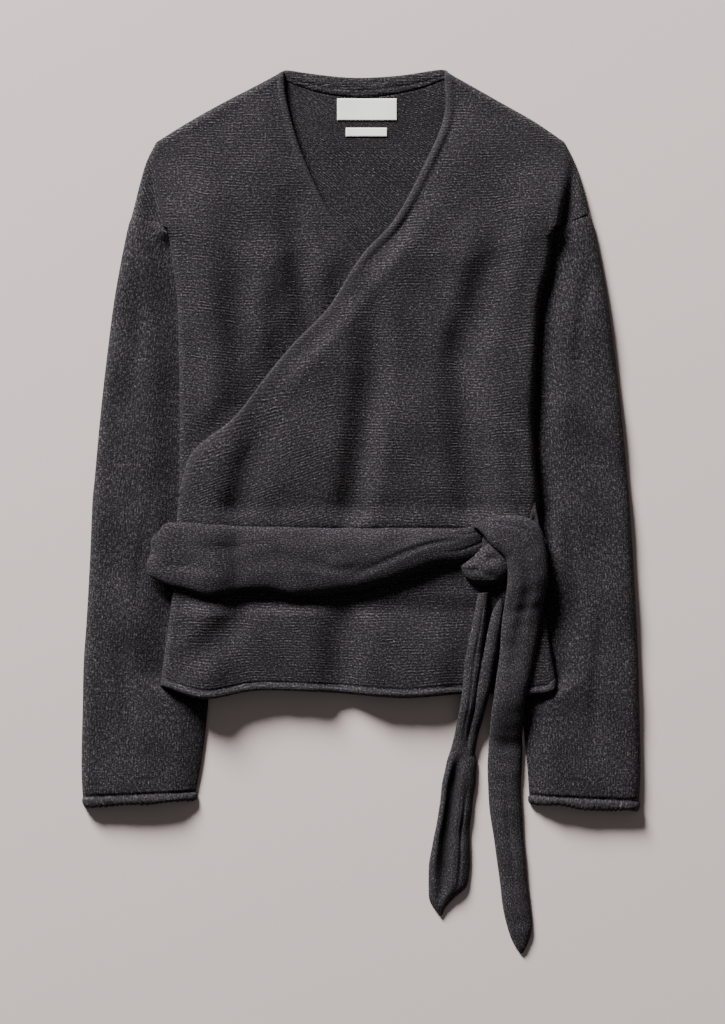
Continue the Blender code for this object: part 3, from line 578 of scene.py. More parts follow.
def woolFinish(name, look):
    # Carded wool in several greys, spun thick and knitted, so each row is a broken thin pale
    # line that comes and goes, over a salt-and-pepper of light and dark fibres. The pattern
    # runs on the UV map, which is in mm. Single fibres (0.03 mm) would be too fine for the
    # picture, so the speckle stands for tufts of them, at about 1.4 mm.
    material, tree, shader = newMaterial(name, 0.95, 0.15, look["sheen"])
    place = addNode(tree, "UVMap", uv_map="UVMap")
    turned = addNode(tree, "Mapping", {0: (place, 0), "Rotation": (0, 0, look["turn"])})
    placed = addNode(tree, "SeparateXYZ", {0: (turned, 0)})
    stretched = addNode(tree, "Mapping", {0: (turned, 0), "Scale": look["fibreScale"]})
    rowLine, rowNumber = rowLines(tree, place, placed, look)

    # drawn out along the row and different in each: its dashes, and how much it shows at all
    where = {"place": place, "turned": turned, "stretched": stretched}
    for key, length, apart in (("dashes", look["dash"], 3.7), ("strength", 38.0, 0.6)):
        along = addNode(tree, "Math", {0: (placed, look["along"]), 1: length},
                        operation="DIVIDE")
        rowPlace = addNode(tree, "Math", {0: (rowNumber, 0), 1: apart}, operation="MULTIPLY")
        where[key] = addNode(tree, "CombineXYZ", {0: (along, 0), 1: (rowPlace, 0)})
    tone = {}
    for key, (kind, scale, detail, rough, (low, high, least, most)) in woolNoise.items():
        noise = addNode(tree, "TexNoise", {"Vector": (where[kind], 0), "Scale": scale,
                                           "Detail": detail, "Roughness": rough})
        tone[key] = addNode(tree, "MapRange", {0: (noise, 0), 1: low, 2: high, 3: least,
                                               4: most})
    lineShow = addNode(tree, "Math", {0: (tone["dash"], 0), 1: (tone["slow"], 0)},
                       operation="MULTIPLY")
    tone["line"] = addNode(tree, "Math", {0: (rowLine, 0), 1: (lineShow, 0)},
                           operation="MULTIPLY")
    total = 0.5
    for key, weight in (("line", look["lineTone"]), ("tuft", look["tuftTone"]),
                        ("fibre", look["fibreTone"]), ("cloud", 1.0)):
        scaled = addNode(tree, "Math", {0: (tone[key], 0), 1: weight}, operation="MULTIPLY")
        total = (addNode(tree, "Math", {0: total, 1: (scaled, 0)}, operation="ADD"), 0)
    ramp = addNode(tree, "ValToRGB", {0: total})
    stops = ramp.color_ramp.elements
    stops[0].position, stops[0].color = 0.05, toLinear(look["deep"])
    stops[1].position, stops[1].color = 0.95, toLinear(look["pale"])
    stops.new(0.5).color = toLinear(look["main"])

    nep = addNode(tree, "TexVoronoi", {"Vector": (place, 0), "Scale": 0.17}, feature="F1")
    nepDot = addNode(tree, "MapRange", {0: (nep, "Distance"), 1: 0.05, 2: 0.14, 3: 1.0, 4: 0.0})
    nepPick = addNode(tree, "Math", {0: (nep, "Color"), 1: 0.66}, operation="GREATER_THAN")
    nepShow = addNode(tree, "Math", {0: (nepDot, 0), 1: (nepPick, 0)}, operation="MULTIPLY")
    roll = addNode(tree, "Attribute", attribute_name="roll")
    rollPart = addNode(tree, "Math", {0: (roll, "Fac"), 1: 0.3}, operation="MULTIPLY")
    leanTint = addNode(tree, "Mix", {0: (tone["lean"], 0), 6: toLinear(look["cool"]),
                                     7: toLinear(look["warm"])}, data_type="RGBA")
    # Painted shade: an attribute on the folded tail mixes the colour towards near black in its
    # trough, where shade falls.
    hollow = addNode(tree, "Attribute", attribute_name="hollow")
    colour = (ramp, 0)
    for part, tint, blend in (
            ((rollPart, 0), toLinear(look["roll"]), "MIX"),        # rolled edges are paler
            ((nepShow, 0), toLinear(look["nep"]), "MIX"),          # rare pale neps
            (1.0, (leanTint, 2), "MULTIPLY"),                      # patches of bluer and browner
            ((hollow, "Fac"), toLinear(look["hollow"]), "MIX")):   # painted shade inside a folded strip's trough
        colour = (addNode(tree, "Mix", {0: part, 6: colour, 7: tint}, data_type="RGBA",
                          blend_type=blend), 2)
    tree.links.new(colour[0].outputs[colour[1]], shader.inputs["Base Color"])

    lineLift = addNode(tree, "Math", {0: (tone["line"], 0), 1: look["lineLift"]},
                       operation="MULTIPLY")
    relief = addNode(tree, "Math", {0: (tone["tuft"], 0), 1: (lineLift, 0)}, operation="ADD")
    bump = addNode(tree, "Bump", {"Height": (relief, 0), "Strength": look["bump"],
                                  "Distance": 0.0008})
    tree.links.new(bump.outputs[0], shader.inputs["Normal"])
    return material


woolNoise = {
    # where it is read, its scale for each mm, detail and roughness, and what range it becomes
    "dash": ("dashes", 1.0, 1.0, 0.5, (0.36, 0.66, 0.0, 1.0)),
    "slow": ("strength", 1.0, 1.0, 0.5, (0.36, 0.62, 0.1, 1.0)),
    "tuft": ("turned", 0.62, 3.0, 0.75, (0.36, 0.66, -0.5, 0.5)),
    "fibre": ("stretched", 1.0, 2.0, 0.6, (0.36, 0.66, -0.5, 0.5)),
    "cloud": ("place", 0.035, 3.0, 0.5, (0.3, 0.7, -0.05, 0.05)),
    "lean": ("place", 0.4, 2.0, 0.5, (0.35, 0.65, 0.0, 1.0)),
}
purlLook = {
    "turn": 0.0,             # how far the pattern is turned, in radians
    "along": 0, "across": 1,                     # the UV axes along and across the rows
    "wobble": 6.0, "fineWobble": 1.2,            # how far the rows wander, in mm
    "rowPitch": cloth["rowPitch"],
    "dash": 3.8,             # length of a row's dashes, about one stitch
    "fibreScale": (0.36, 0.5, 1.0),
    "lineTone": 0.78, "tuftTone": 0.74, "fibreTone": 0.3,      # how much each one shows
    "lineLift": 1.1, "bump": 0.5, "sheen": 0.05,
    "deep": "#0D0C0E", "main": "#262427", "pale": "#5B585A", "roll": "#3C3A3C", "nep": "#6C6866",
    # the last colour here is painted shade, for the trough of a folded strip
    "cool": "#F0F4FF", "warm": "#FFF3EC", "hollow": "#070607",
}
waleLook = dict(purlLook, across=0, along=1, rowPitch=2.4, lineTone=0.3, tuftTone=0.7,
                fibreScale=(0.6, 0.25, 1.0), fibreTone=0.4)
insideLook = dict(purlLook, turn=0.62, rowPitch=2.1, lineTone=0.6, tuftTone=0.6, dash=6.0,
                  main="#201F21")
jerseyLook = dict(purlLook, lineTone=0.12, tuftTone=0.78, fibreScale=(0.5, 0.5, 1.0),
                  fibreTone=0.2, bump=0.35)


def labelFinish():
    # Bleached polyester label tape, woven fine and dense. It is nearly white and flat, with a
    # faint grid of threads, drawn coarser than the real 0.1 mm so that it shows.
    material, tree, shader = newMaterial("woven label tape", 0.75, 0.3, 0.0)
    place = addNode(tree, "UVMap", uv_map="UVMap")
    threads = addNode(tree, "TexWave", {"Vector": (place, 0), "Scale": 0.7, "Distortion": 0.6},
                      bands_direction="Y")
    weft = addNode(tree, "TexWave", {"Vector": (place, 0), "Scale": 0.5, "Distortion": 0.4},
                   bands_direction="X")
    both = addNode(tree, "Math", {0: (threads, 1), 1: (weft, 1)}, operation="ADD")
    tint = addNode(tree, "MapRange", {0: (both, 0), 1: 0.0, 2: 2.0, 3: 0.0, 4: 1.0})
    colour = addNode(tree, "Mix", {0: (tint, 0), 6: toLinear("#E6E5E1"), 7: toLinear("#FAF9F6")},
                     data_type="RGBA")
    tree.links.new(colour.outputs[2], shader.inputs["Base Color"])
    bump = addNode(tree, "Bump", {"Height": (both, 0), "Strength": 0.25, "Distance": 0.0002})
    tree.links.new(bump.outputs[0], shader.inputs["Normal"])
    return material


def floorFinish():
    # A matt painted board: pale warm grey, with a very faint cloudiness.
    material, tree, shader = newMaterial("painted board", 0.9, 0.2, 0.0)
    place = addNode(tree, "TexCoord")
    cloud = addNode(tree, "TexNoise", {"Vector": (place, "Object"), "Scale": 1.6, "Detail": 2.0})
    colour = addNode(tree, "Mix", {0: (cloud, 0), 6: toLinear("#CEBFBC"), 7: toLinear("#D2C4C0")},
                     data_type="RGBA")
    tree.links.new(colour.outputs[2], shader.inputs["Base Color"])
    return material


woolPurl = woolFinish("charcoal wool, purl side", purlLook)
woolWale = woolFinish("charcoal wool, plain side", waleLook)
woolInside = woolFinish("charcoal wool, inside", insideLook)
woolJersey = woolFinish("charcoal wool jersey", jerseyLook)
labelTape = labelFinish()
print("materials made")


# The body: back, under front and over front

# columns, as distances from a folded side and from a rolled edge
sideSteps = (0, 0.35, 0.9, 1.8, 3.0, 4.6, 6.8, 9.4, 12.2, 15.0, 18.0, 21.0, 24.0, 27.5,
             31.0, 35.0)
rollSteps = (0, 0.4, 1.0, 1.9, 3.1, 4.6, 6.2, 7.9, 9.6, 11.3, 13.2, 15.8, 19.5, 25.0)
rowStep = cloth["rowPitch"] / 3                 # where the rows show; coarser where they don't


def frontShell(full, floor, rise, side):
    # Top and underside of a front: its full height, rounded down to its folded sides over a
    # radius that grows with its rise.
    wall = cloth["wall"]
    radius = np.clip(4.5 + 0.6 * rise, 4.5, body["sideRadius"])
    low = floor + body["lowerEdge"]
    return (roundedSide(full + wall, low, side, radius),
            roundedSide(full, low - 0.3, np.maximum(side - wall, 0), radius - wall))


backLook = {
    "tuck": 2.8,             # it stays this far inside the body's outline
    "neck": ((-78, 403), (-66, 396), (-38, 386), (-10, 382), (20, 383), (52, 389), (74, 397),
             (84, 403)),
    "firstRow": 403.0,
}


def makeBack():
    # The back lies lowest. Its top row follows the back of the neck.
    neck = curveThrough(backLook["neck"], lineStep)
    first, last, tuck = backLook["firstRow"], body["lastRow"], backLook["tuck"]

    def bend(x, y0):
        drop = np.interp(x, neck[:, 0], neck[:, 1]) - first
        return drop * ease((y0 - 330) / 73) + hemCurve(x, y0)

    rows = rowSpacing((first, 228, rowStep), (228, -150, 5.0), (-150, last, 2.0))
    plan = panelGrid(lines["bodyLeft"], lines["bodyRight"], rows, sideSteps[:6], sideSteps[:6],
                     60, bend, tuck)
    x, y, y0 = plan
    floor = backUnderside(x, y)
    edge = away(x, y, *bodySides) - tuck
    thinned = 1 - ease(edge / 2.0)
    under = floor + 0.9 * thinned
    top = floor + cloth["wall"] - 0.5 * thinned
    shown = ease((y - 226) / 12) * ease((95 - np.abs(x - 4)) / 12)       # in the neck's V
    top = top + 0.2 * shown * np.sin(2 * np.pi * y0 / cloth["rowPitch"])
    top = top + 0.5 * shown * noiseField(x, y, 60.0, 3)
    piece = makePanel("cardigan_back", plan, top, under, woolInside)
    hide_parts("back")


def makeFrontUnder():
    # The wearer's right front. Its free edge rolls a little where the neck shows it.
    def bend(x, y0):
        wave = 1.8 * np.sin(x / 47 + 0.6) * np.sin(y0 / 61) * ease((400 - y0) / 50)
        left = 6.0 * ease((-110 - x) / 60) * ease((380 - y0) / 90) * ease((y0 - 40) / 80)
        return hemCurve(x, y0) + wave + left

    rows = rowSpacing((body["firstRow"], 8, rowStep), (8, -150, 6.0),
                      (-150, body["lastRow"], 3.0))
    plan = panelGrid(lines["bodyLeft"], lines["underRight"], rows, sideSteps, rollSteps[:12],
                     26, bend)
    x, y, y0 = plan
    floor = backUnderside(x, y)
    rise = underLoft(x, y) + shoulderPuff(x, y)
    side = sideAway(x, y, lines["sideRight"], lines["sideLeft"])
    free = away(x, y, lines["underEdge"])
    top, under = frontShell(floor + cloth["layer"] + rise, floor, rise, side)
    shown = ease((y - 216) / 14)
    top = top + rowRelief(y0, x, 11) * ease(side / 6)
    top = top + shown * edgeRoll(free, *body["underRoll"]) - 1.0 * (1 - ease(free / 1.2))
    ceiling = overFloor(x, y) - 0.5            # it stays this far below the over front
    covered = nearestOn(x, y, lines["overEdge"])[0] > -0.5
    top = np.where(covered, np.minimum(top, ceiling), top)
    under = np.minimum(under, top - 0.25)
    roll = shown * (1 - ease((free - 5) / 4))
    dropped = 1 - shoulderStep(x, y, -1, body["turnRun"])
    piece = makePanel("cardigan_front_under", plan, top, under, woolPurl,
                      {"roll": 0.5 * roll}, dropped)
    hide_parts("front_under")


def makeFrontOver():
    # The wearer's left front lies on top. Its free edge and its hem roll outwards.
    def bend(x, y0):
        tilt = 0.30 * np.minimum(x + 24, 0) * ease((170 - y0) / 110) * ease((y0 + 66) / 56)
        right = 5.0 * ease((x - 110) / 60) * ease((380 - y0) / 90) * ease((y0 - 30) / 80)
        wave = (1.8 * np.sin(x / 52 + 2.1) * np.sin(y0 / 57) * ease((400 - y0) / 50)
                * ease((y0 + 160) / 60))
        return hemCurve(x, y0) + tilt + right + wave

    rows = rowSpacing((body["firstRow"], -14, rowStep), (-14, -62, 4.0),
                      (-62, body["lastRow"], rowStep))
    plan = panelGrid(lines["overLeft"], lines["bodyRight"], rows, rollSteps, sideSteps, 42, bend)
    x, y, y0 = plan
    rise = overLoft(x, y) + shoulderPuff(x, y)
    side = sideAway(x, y, lines["sideRight"], lines["lowSideLeft"])
    free = away(x, y, lines["overEdge"])
    hem = away(x, y, lines["hem"])
    top, under = frontShell(overFloor(x, y), backUnderside(x, y), rise, side)
    frill = 1 + 0.22 * np.sin(x / 1.9 + 1.4 * np.sin(x / 7.0)) + 0.2 * noiseField(x, y, 14.0, 13)
    neckPart = ease((y - 205) / 60)            # below the neck the edge turns under softly
    uneven = 1 + 0.2 * noiseField(x, y, 40.0, 14)
    rolls = (edgeRoll(free, *body["neckRoll"], uneven) * neckPart
             + edgeRoll(free, *body["wrapRoll"], uneven) * (1 - neckPart)
             + edgeRoll(hem, *body["hemRoll"]) * ease(side / 8) * frill)
    rowsShown = ease(free / 6) * ease((hem - 6.5) / 1.5) * ease(side / 6)
    top = top + rowRelief(y0, x, 12) * rowsShown + rolls
    top = top - 1.2 * (1 - ease(free / 1.2)) - 1.6 * (1 - ease(hem / 1.4))
    under = np.minimum(under, top - 0.25)
    roll = np.maximum(1 - ease((free - 5) / 6), 0.5 * (1 - ease((hem - 5.6) / 1.6)))
    dropped = 1 - shoulderStep(x, y, 1, body["turnRun"])
    piece = makePanel("cardigan_front_over", plan, top, under, woolPurl,
                      {"roll": roll}, dropped)
    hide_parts("front_over")


# Sleeves

sleeveLook = {
    "thick": 5.4,            # height of the flattened tube before it puffs up
    "lower": 2.4,            # height of its widest line
    "topRadius": 10.0, "lowRadius": 2.6,         # its edges round over and under within these
    "edgeSteps": (0, 0.3, 0.8, 1.6, 2.7, 4.2, 6.2, 8.8, 12.0),
    "middleColumns": 64,
    "rowStep": 0.8, "cuffRows": 20,              # the cuff's rows, and one in four above them
    "cuffRadius": 4.5,
    "corner": (181, 258, 5.8, 75.0),             # a bump at the armhole: place, height, spread
}


def sleeveGrid(side):
    # Rows down the sleeve, each with its outer end, its direction across, its width, the
    # columns' offsets and its distance from the first row.
    fineRows = curveThrough(sleeves[side], sleeveLook["rowStep"])
    fineRows[0, (1, 3)] += (2.0, 3.5 - 1.5 * side)             # under the dropped shoulder
    count = sleeveLook["cuffRows"]
    rows = np.vstack([fineRows[:-count:4], fineRows[-count:]])
    start, end = rows[:, :2], rows[:, 2:]
    width = np.linalg.norm(end - start, axis=1)[:, None]
    steps = np.array(sleeveLook["edgeSteps"])
    share = np.arange(1, sleeveLook["middleColumns"]) / sleeveLook["middleColumns"]
    offset = np.hstack([np.broadcast_to(steps, (len(rows), len(steps))),
                        steps[-1] + (width - 2 * steps[-1]) * share, width - steps[::-1]])
    stepLength = np.linalg.norm(np.diff(0.5 * (start + end), axis=0), axis=1)
    run = np.concatenate([[0], np.cumsum(stepLength)])[:, None]
    return start, (end - start) / width, width, offset, run


def sleeveTop(x, y, side, run, edge, past):
    # The flat tube and its puff, less its dents, with a bump at the armhole, a tuck where it
    # meets the shoulder and its edges rounded over.
    free = ease((past + 1.0) / 10)
    dents = sum(depth * across for depth, across in foldBells(x, y, sleeveDents[side]))
    bumpX, bumpY, bumpHeight, spread = sleeveLook["corner"]
    bump = bumpHeight * np.exp(-((side * x - bumpX) ** 2 + (y - bumpY) ** 2) / spread)
    tuckIn = (0.7 + 0.3 * side) * np.exp(-(run / 1.8) ** 2)
    puff = np.maximum(sleevePuff(x, y, side, past) - dents * free, -1.0)
    thick = sleeveLook["thick"] + puff + bump - tuckIn
    fine = 0.12 * noiseField(x, y, 7.0, 22) * free * ease(edge / 4)
    return roundedSide(thick, sleeveLook["lower"], edge, sleeveLook["topRadius"]) + fine


def cuffRoll(x, y, side, offset, width, edge, cuff):
    # The cuff is a half circle across its edge with a crease above it, gathered into a frill.
    # It gives what it adds to the top, and how far it moves the edge down and sideways.
    frill = np.sin(offset / 0.74 + 1.3 * np.sin(offset / 5.0 + side))
    frill = 0.5 + 0.5 * frill * (0.7 + 0.3 * noiseField(x, y, 16.0, 24))
    radius = sleeveLook["cuffRadius"]
    bulge = np.sqrt(np.clip(1 - ((cuff - radius) / radius) ** 2, 0, 1))
    crease = np.exp(-((cuff - 2 * radius - 1.4) / 1.3) ** 2)
    low = ease(1 - cuff / 14) * 2.0 * (1 - bulge)
    lift = (bulge * (1.4 + 1.1 * frill) - 1.1 * crease - low) * ease(edge / 2)
    sway = 1.2 * noiseField(x, y, 40.0, 25) * ease((14 - cuff) / 14)
    shift = (frill - 0.5) * 1.3 * ease((7 - cuff) / 7) + sway
    flare = side * 1.6 * bulge * np.sign(offset - width / 2) * ease(1 - edge / 12)
    return lift, shift, flare


def overAndBack(over, under):
    # The columns over the top and those below, which run back to the first one.
    return np.hstack([over, under[:, ::-1][:, 1:-1]])


def makeSleeve(name, node, side):
    # A flattened tube, one ring for each line across it. Each ring runs over the top from the
    # outer edge to the inner one and back below; the wall's inner face follows 2.5 mm inside.
    start, across, width, offset, run = sleeveGrid(side)
    cuff = run[-1] - run                                       # mm from the cuff's edge
    plan = start[:, None, :] + offset[..., None] * across[:, None, :]
    x, y = plan[..., 0], plan[..., 1]
    edge = np.minimum(offset, width - offset)
    below = ease((-148 - y) / 34)                              # the body ends here
    past = (1 - below) * pastEdge(x, y, side) + below * (width - offset + 4)
    lift, shift, flare = cuffRoll(x, y, side, offset, width, edge, cuff)
    high = sleeveTop(x, y, side, run, edge, past) + lift
    low = roundedSide(0, sleeveLook["lower"], edge, sleeveLook["lowRadius"])

    wall = cloth["wall"]
    middle = 0.5 * (high + low)
    inHigh = np.maximum(high - wall, middle + 0.15)
    inLow = np.minimum(low + wall, middle - 0.15)
    centre = 0.5 * (inHigh + inLow)
    gap = np.maximum(ease((edge - wall) / 1.5), 0.12)          # the inner faces meet at the edges
    inHigh, inLow = centre + (inHigh - centre) * gap, centre + (inLow - centre) * gap
    inOffset = np.clip(offset, wall, width - wall)
    inPlan = start[:, None, :] + inOffset[..., None] * across[:, None, :]
    skins = []
    for skinPlan, over, under in ((plan, high, low), (inPlan, inHigh, inLow)):
        skinX, skinY = skinPlan[..., 0] - flare, skinPlan[..., 1] - shift
        skins.append(np.stack([overAndBack(skinX, skinX), overAndBack(skinY, skinY),
                               overAndBack(over, under)], axis=-1).reshape(-1, 3))

    around = overAndBack(offset, offset)
    count, columns = around.shape
    size = around.size
    faces = [gridFaces(count, columns, 0, side > 0, True),
             gridFaces(count, columns, size, side < 0, True)]
    for k, flip in ((0, side < 0), (count - 1, side > 0)):
        quads = joinRings(k * columns + np.arange(columns), size)
        faces.append(quads[:, ::-1] if flip else quads)
    arc = overAndBack(offset, 2 * width - offset)
    uv = np.stack([arc, np.broadcast_to(-run, arc.shape)], axis=-1).reshape(-1, 2)
    roll = np.broadcast_to(0.5 - 0.5 * ease((cuff - 8) / 2), arc.shape).ravel()
    piece = addSurface(name, np.vstack(skins), np.vstack(faces), np.tile(uv, (2, 1)),
                       woolWale, {"roll": np.tile(roll, 2)})
    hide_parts(node)


sleeveDents = {
    # half width to the left and right, then rows of across, up, depth
    1: ((10, 12, ((214, 232, 0), (205, 190, 1.6), (200, 140, 1.2), (206, 90, 0))),
        (12, 9, ((186, 30, 0), (192, -20, 1.8), (200, -80, 1.2), (204, -120, 0))),
        (10, 14, ((226, -60, 0), (220, -120, 1.4), (214, -190, 1.5), (216, -240, 0)))),
    -1: ((12, 10, ((-206, 220, 0), (-204, 170, 1.6), (-210, 120, 1.0), (-214, 80, 0))),
         (9, 12, ((-190, 40, 0), (-198, -20, 1.6), (-204, -70, 1.6), (-200, -130, 0))),
         (12, 12, ((-226, -90, 0), (-220, -140, 1.3), (-212, -200, 1.4), (-206, -240, 0)))),
}


# Strips: the sash's stretches, the knot and the tails


stripLook = {
    # what each strip has unless its own look says otherwise
    "step": 1.6, "segments": 44,
    "squareness": ((0, 2.6), (1, 2.6)),          # n at places along the strip
    "uneven": 0.35, "fine": 0.04, "finePitch": 2.2,
    "creases": (),
}


def makeStrip(name, node, rows, look):
    # A cloth strip with both edges curled under. Each row of its path gives the edge to the
    # left of its heading, the other edge, the height of its foot and its own height. Its
    # section is half a superellipse, s = cos^(2/n) across and h = sin^(2/n) up, with its own
    # n along the strip. Creases lower it by a squared cosine along their own lines, given as
    # (place along 0 to 1, place across -1 to 1, depth). The inner face follows one wall in.
    look = {**stripLook, **look}
    path = curveThrough(rows, look["step"])
    leftEdge, rightEdge = path[:, 0:2], path[:, 2:4]
    height = path[:, 5:6]
    feet = np.column_stack([(leftEdge + rightEdge) / 2, path[:, 4]])
    across = np.column_stack([leftEdge - rightEdge, np.zeros(len(feet))])
    width = np.linalg.norm(across, axis=1)[:, None]
    across = across / width
    heading = np.gradient(feet, axis=0)
    heading /= np.linalg.norm(heading, axis=1)[:, None]
    up = np.cross(heading, across)
    up /= np.linalg.norm(up, axis=1)[:, None]
    run = np.concatenate([[0], np.cumsum(np.linalg.norm(np.diff(feet, axis=0), axis=1))])
    share = (run / run[-1])[:, None]

    turn = np.linspace(np.pi, 0, look["segments"] + 1)[None, :]
    power = 2 / readTable(look["squareness"], share)
    s = np.sign(np.cos(turn)) * np.abs(np.cos(turn)).round(9) ** power
    h = np.abs(np.sin(turn)).round(9) ** power
    high = h * height
    for halfWidth, crease in look["creases"]:
        line = curveThrough(np.array(crease) * (100, 1, 1), 2.0)
        place = readTable(line, share * 100)
        depth = np.interp(share * 100, line[:, 0], line[:, 2], left=0, right=0)
        high = high - depth * bell(s - place, halfWidth) * h
    uneven = noiseField(run[:, None] + 0 * s, s * width / 2, 26.0, look["seed"])
    high = np.maximum(high + look["uneven"] * h * uneven, 0.25 * h * height)
    wide = width / 2 * (1 + 0.02 * noiseField(run[:, None], 0 * run[:, None], 30.0,
                                              look["seed"] + 1))
    fine = look["fine"] * np.sin(np.pi * s * width / look["finePitch"])
    outward = s * wide
    outer = (feet[:, None, :] + outward[..., None] * across[:, None, :]
             + (high + fine * h)[..., None] * up[:, None, :])
    wall = np.minimum(cloth["wall"], 0.3 * width)
    lift = np.minimum(cloth["wall"], 0.42 * height)
    innerS = s * (wide - wall)
    innerH = np.maximum(high - lift * ease(h * 1.6), 0.02) * ease(h * 4)
    inner = (feet[:, None, :] + innerS[..., None] * across[:, None, :]
             + innerH[..., None] * up[:, None, :])
    ring = np.concatenate([outer, inner[:, ::-1]], axis=1)
    count, around = ring.shape[:2]
    points = ring.reshape(-1, 3)
    if "shape" in look:
        points = look["shape"](points)
    faces = [gridFaces(count, around, 0, False, True)]
    faces += [capFaces(around, 0), capFaces(around, (count - 1) * around)[:, ::-1]]
    attributes = None
    # Painted shade: a darkening of the colour along a trough, standing in for the shade inside
    # the fold.
    if "hollow" in look:
        halfWidth, rowsAlong = look["hollow"]      # as a crease, with the strength of its painted shade
        line = np.array(rowsAlong, float)
        dark = np.interp(share, line[:, 0], line[:, 2], left=0, right=0)
        dark = dark * bell(s - readTable(line, share), halfWidth) ** 0.6
        attributes = {"hollow": np.concatenate([dark, dark[:, ::-1]], axis=1).ravel()}
    arc = s * width / 2 * 1.25                     # the section is about a quarter longer
    arc = np.concatenate([arc, arc[:, ::-1]], axis=1)
    uv = np.stack([np.broadcast_to(run[:, None], arc.shape), arc], axis=-1).reshape(-1, 2)
    piece = addSurface(name, points, np.vstack(faces), uv, woolJersey,
                       attributes)
    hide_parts(node)


def bodyTop(x):
    # Height of the over front at the sash, where the lines below run straight.
    x = np.atleast_1d(np.array(x, float))
    y = np.full(x.shape, (sash["top"] + sash["bottom"]) / 2)
    return backUnderside(x, y) + 3 * cloth["layer"] - 0.1


# the turns at the sides are centred half way up the whole stack
turnMiddle = (2 * cloth["sleeveStack"] + 4 * cloth["layer"] + sash["height"]) / 2


def quarterTurn(centre, side, reach, rise):
    # Feet of a strip that turns round the body's side, from its top (or its bottom, with a
    # rise below 0) to half way.
    turn = np.linspace(0.5 * np.pi, 0.03, 5)
    return centre + side * reach * np.cos(turn), turnMiddle + rise * np.sin(turn)


sashEdges = {
    # in plan, as (across, up), and the height of the front stretch
    "top": ((-184, -20), (-179.4, -9.7), (-157.3, -10.6), (-111.3, -13.3), (-56, -14.3),
            (54, -14.3), (82, -14.3), (96.6, -13.3), (105.8, -10.6), (113.2, -11.0),
            (118.7, -14.3)),
    "bottom": ((-184, -62), (-175.7, -67.6), (-162.8, -70.4), (-142.6, -76.8), (-127.9, -75),
               (-102.1, -72.2), (-81.9, -72.7), (-61.6, -77.4), (-41.4, -77.4), (-19.3, -75),
               (4.6, -72.2), (25.8, -66.7), (46.9, -58.4), (68.1, -50.1), (92, -47.4),
               (108.6, -40.9), (118.7, -34.0)),
    "height": ((-186, 5), (-172, 7), (-150, 10), (-100, 13), (0, 14.5), (60, 13), (84, 9.5),
               (100, 7), (110, 4), (118.7, 1)),
    "leftBulge": ((-74, 0), (-66, 3), (-58, 7), (-48, 8.6), (-38, 4.5), (-27, 5.2), (-18, 1),
                  (-10, 0)),
    "sideTop": ((139, -8), (149, -6), (152.5, -3), (156, 5), (159.2, 12.4), (160.6, 4),
                (162.8, -10), (166, -20), (168, -28)),
}


def bulgeLeft(points):
    # The turn at the left side stands out in two soft lumps: each point moves left by the
    # bulge at its height in the picture, eased in over the last 16 mm.
    moved = points.copy()
    push = readTable(sashEdges["leftBulge"], points[:, 1])
    moved[:, 0] -= push * ease((-160 - points[:, 0]) / 16)
    return moved


sashFrontLook = {
    "squareness": ((0, 4.5), (0.4, 3.6), (0.62, 2.4), (1, 2.3)), "segments": 60,
    "seed": 41, "uneven": 0.5, "step": 2.0, "shape": bulgeLeft,
    # creases: half width as a share, then rows of place along, place across, depth
    "creases": (
        (0.2, ((0.06, 0.35, 0), (0.2, 0.3, 1.2), (0.36, 0.5, 0))),
        (0.16, ((0.02, -0.45, 0), (0.1, -0.3, 1.2), (0.2, -0.35, 0))),
        (0.24, ((0.34, 0.15, 0), (0.46, -0.1, 1.5), (0.56, -0.3, 1.1), (0.66, -0.2, 0))),
        (0.22, ((0.56, -0.6, 0), (0.66, -0.25, 1.3), (0.78, 0.1, 1.6), (0.9, 0.3, 0.5))),
        (0.16, ((0.84, -0.35, 0), (0.92, -0.3, 0.8), (0.985, -0.2, 0.6))),
        (0.14, ((0.84, 0.7, 0), (0.93, 0.5, 0.7), (0.985, 0.4, 0.6))),
    ),
}


def makeSashFront():
    xs = np.concatenate([np.linspace(-164, 112, 36), (115, 118.7)])
    z = bodyTop(xs) - 1.5 * ease((xs - 100) / 18)              # it dips under the knot
    wrapX, wrapZ = quarterTurn(sash["wrapLeft"], -1, sash["reach"], z[0] - turnMiddle)
    xs = np.concatenate([wrapX[::-1], xs])
    z = np.concatenate([wrapZ[::-1], z])
    top, bottom, height = (readTable(sashEdges[key], xs) for key in ("top", "bottom", "height"))
    path = np.column_stack([xs, top, xs, bottom, z, height])
    makeStrip("cardigan_sash_front", "sash_front", path, sashFrontLook)


sashSideLook = {
    "squareness": ((0, 4.0), (1, 4.0)), "segments": 40, "seed": 44,
    "creases": ((0.2, ((0.0, 0.3, 0.8), (0.5, 0.45, 1.5), (1.0, 0.5, 0.5))),),
    "level": (139, 144, 148, 150, 151),          # its feet before the turn
    "low": -60.0,                                # its lower edge
}


def makeSashSide():
    xs = np.array(sashSideLook["level"], float)
    z = bodyTop(xs)
    wrapX, wrapZ = quarterTurn(sash["wrapRight"], 1, sash["reach"], z[-1] - turnMiddle)
    xs = np.concatenate([xs, wrapX])
    z = np.concatenate([z, wrapZ])
    dense = np.linspace(0, 1, 26)
    along = np.linspace(0, 1, len(xs))
    xs, z = np.interp(dense, along, xs), np.interp(dense, along, z)
    level = np.ones(len(xs))
    path = np.column_stack([xs, readTable(sashEdges["sideTop"], xs), xs,
                            sashSideLook["low"] * level, z, sash["height"] * level])
    makeStrip("cardigan_sash_side", "sash_side", path, sashSideLook)


sashBackLook = {
    "squareness": ((0, 9.0), (1, 9.0)), "segments": 30, "seed": 47, "uneven": 0.0,
    "step": 4.0, "fine": 0.0,
    "level": (-165, -137, -115, -60, 0, 60, 118, 139, 150),      # its feet between the turns
    "middle": -43.0, "wide": 62.0, "height": 2.4,
    "leftWidths": (24, 34, 44, 52, 58), "rightWidths": (58, 52, 44, 36, 30),
    "turnDepth": 4.9, "turnReach": 14.0,
}


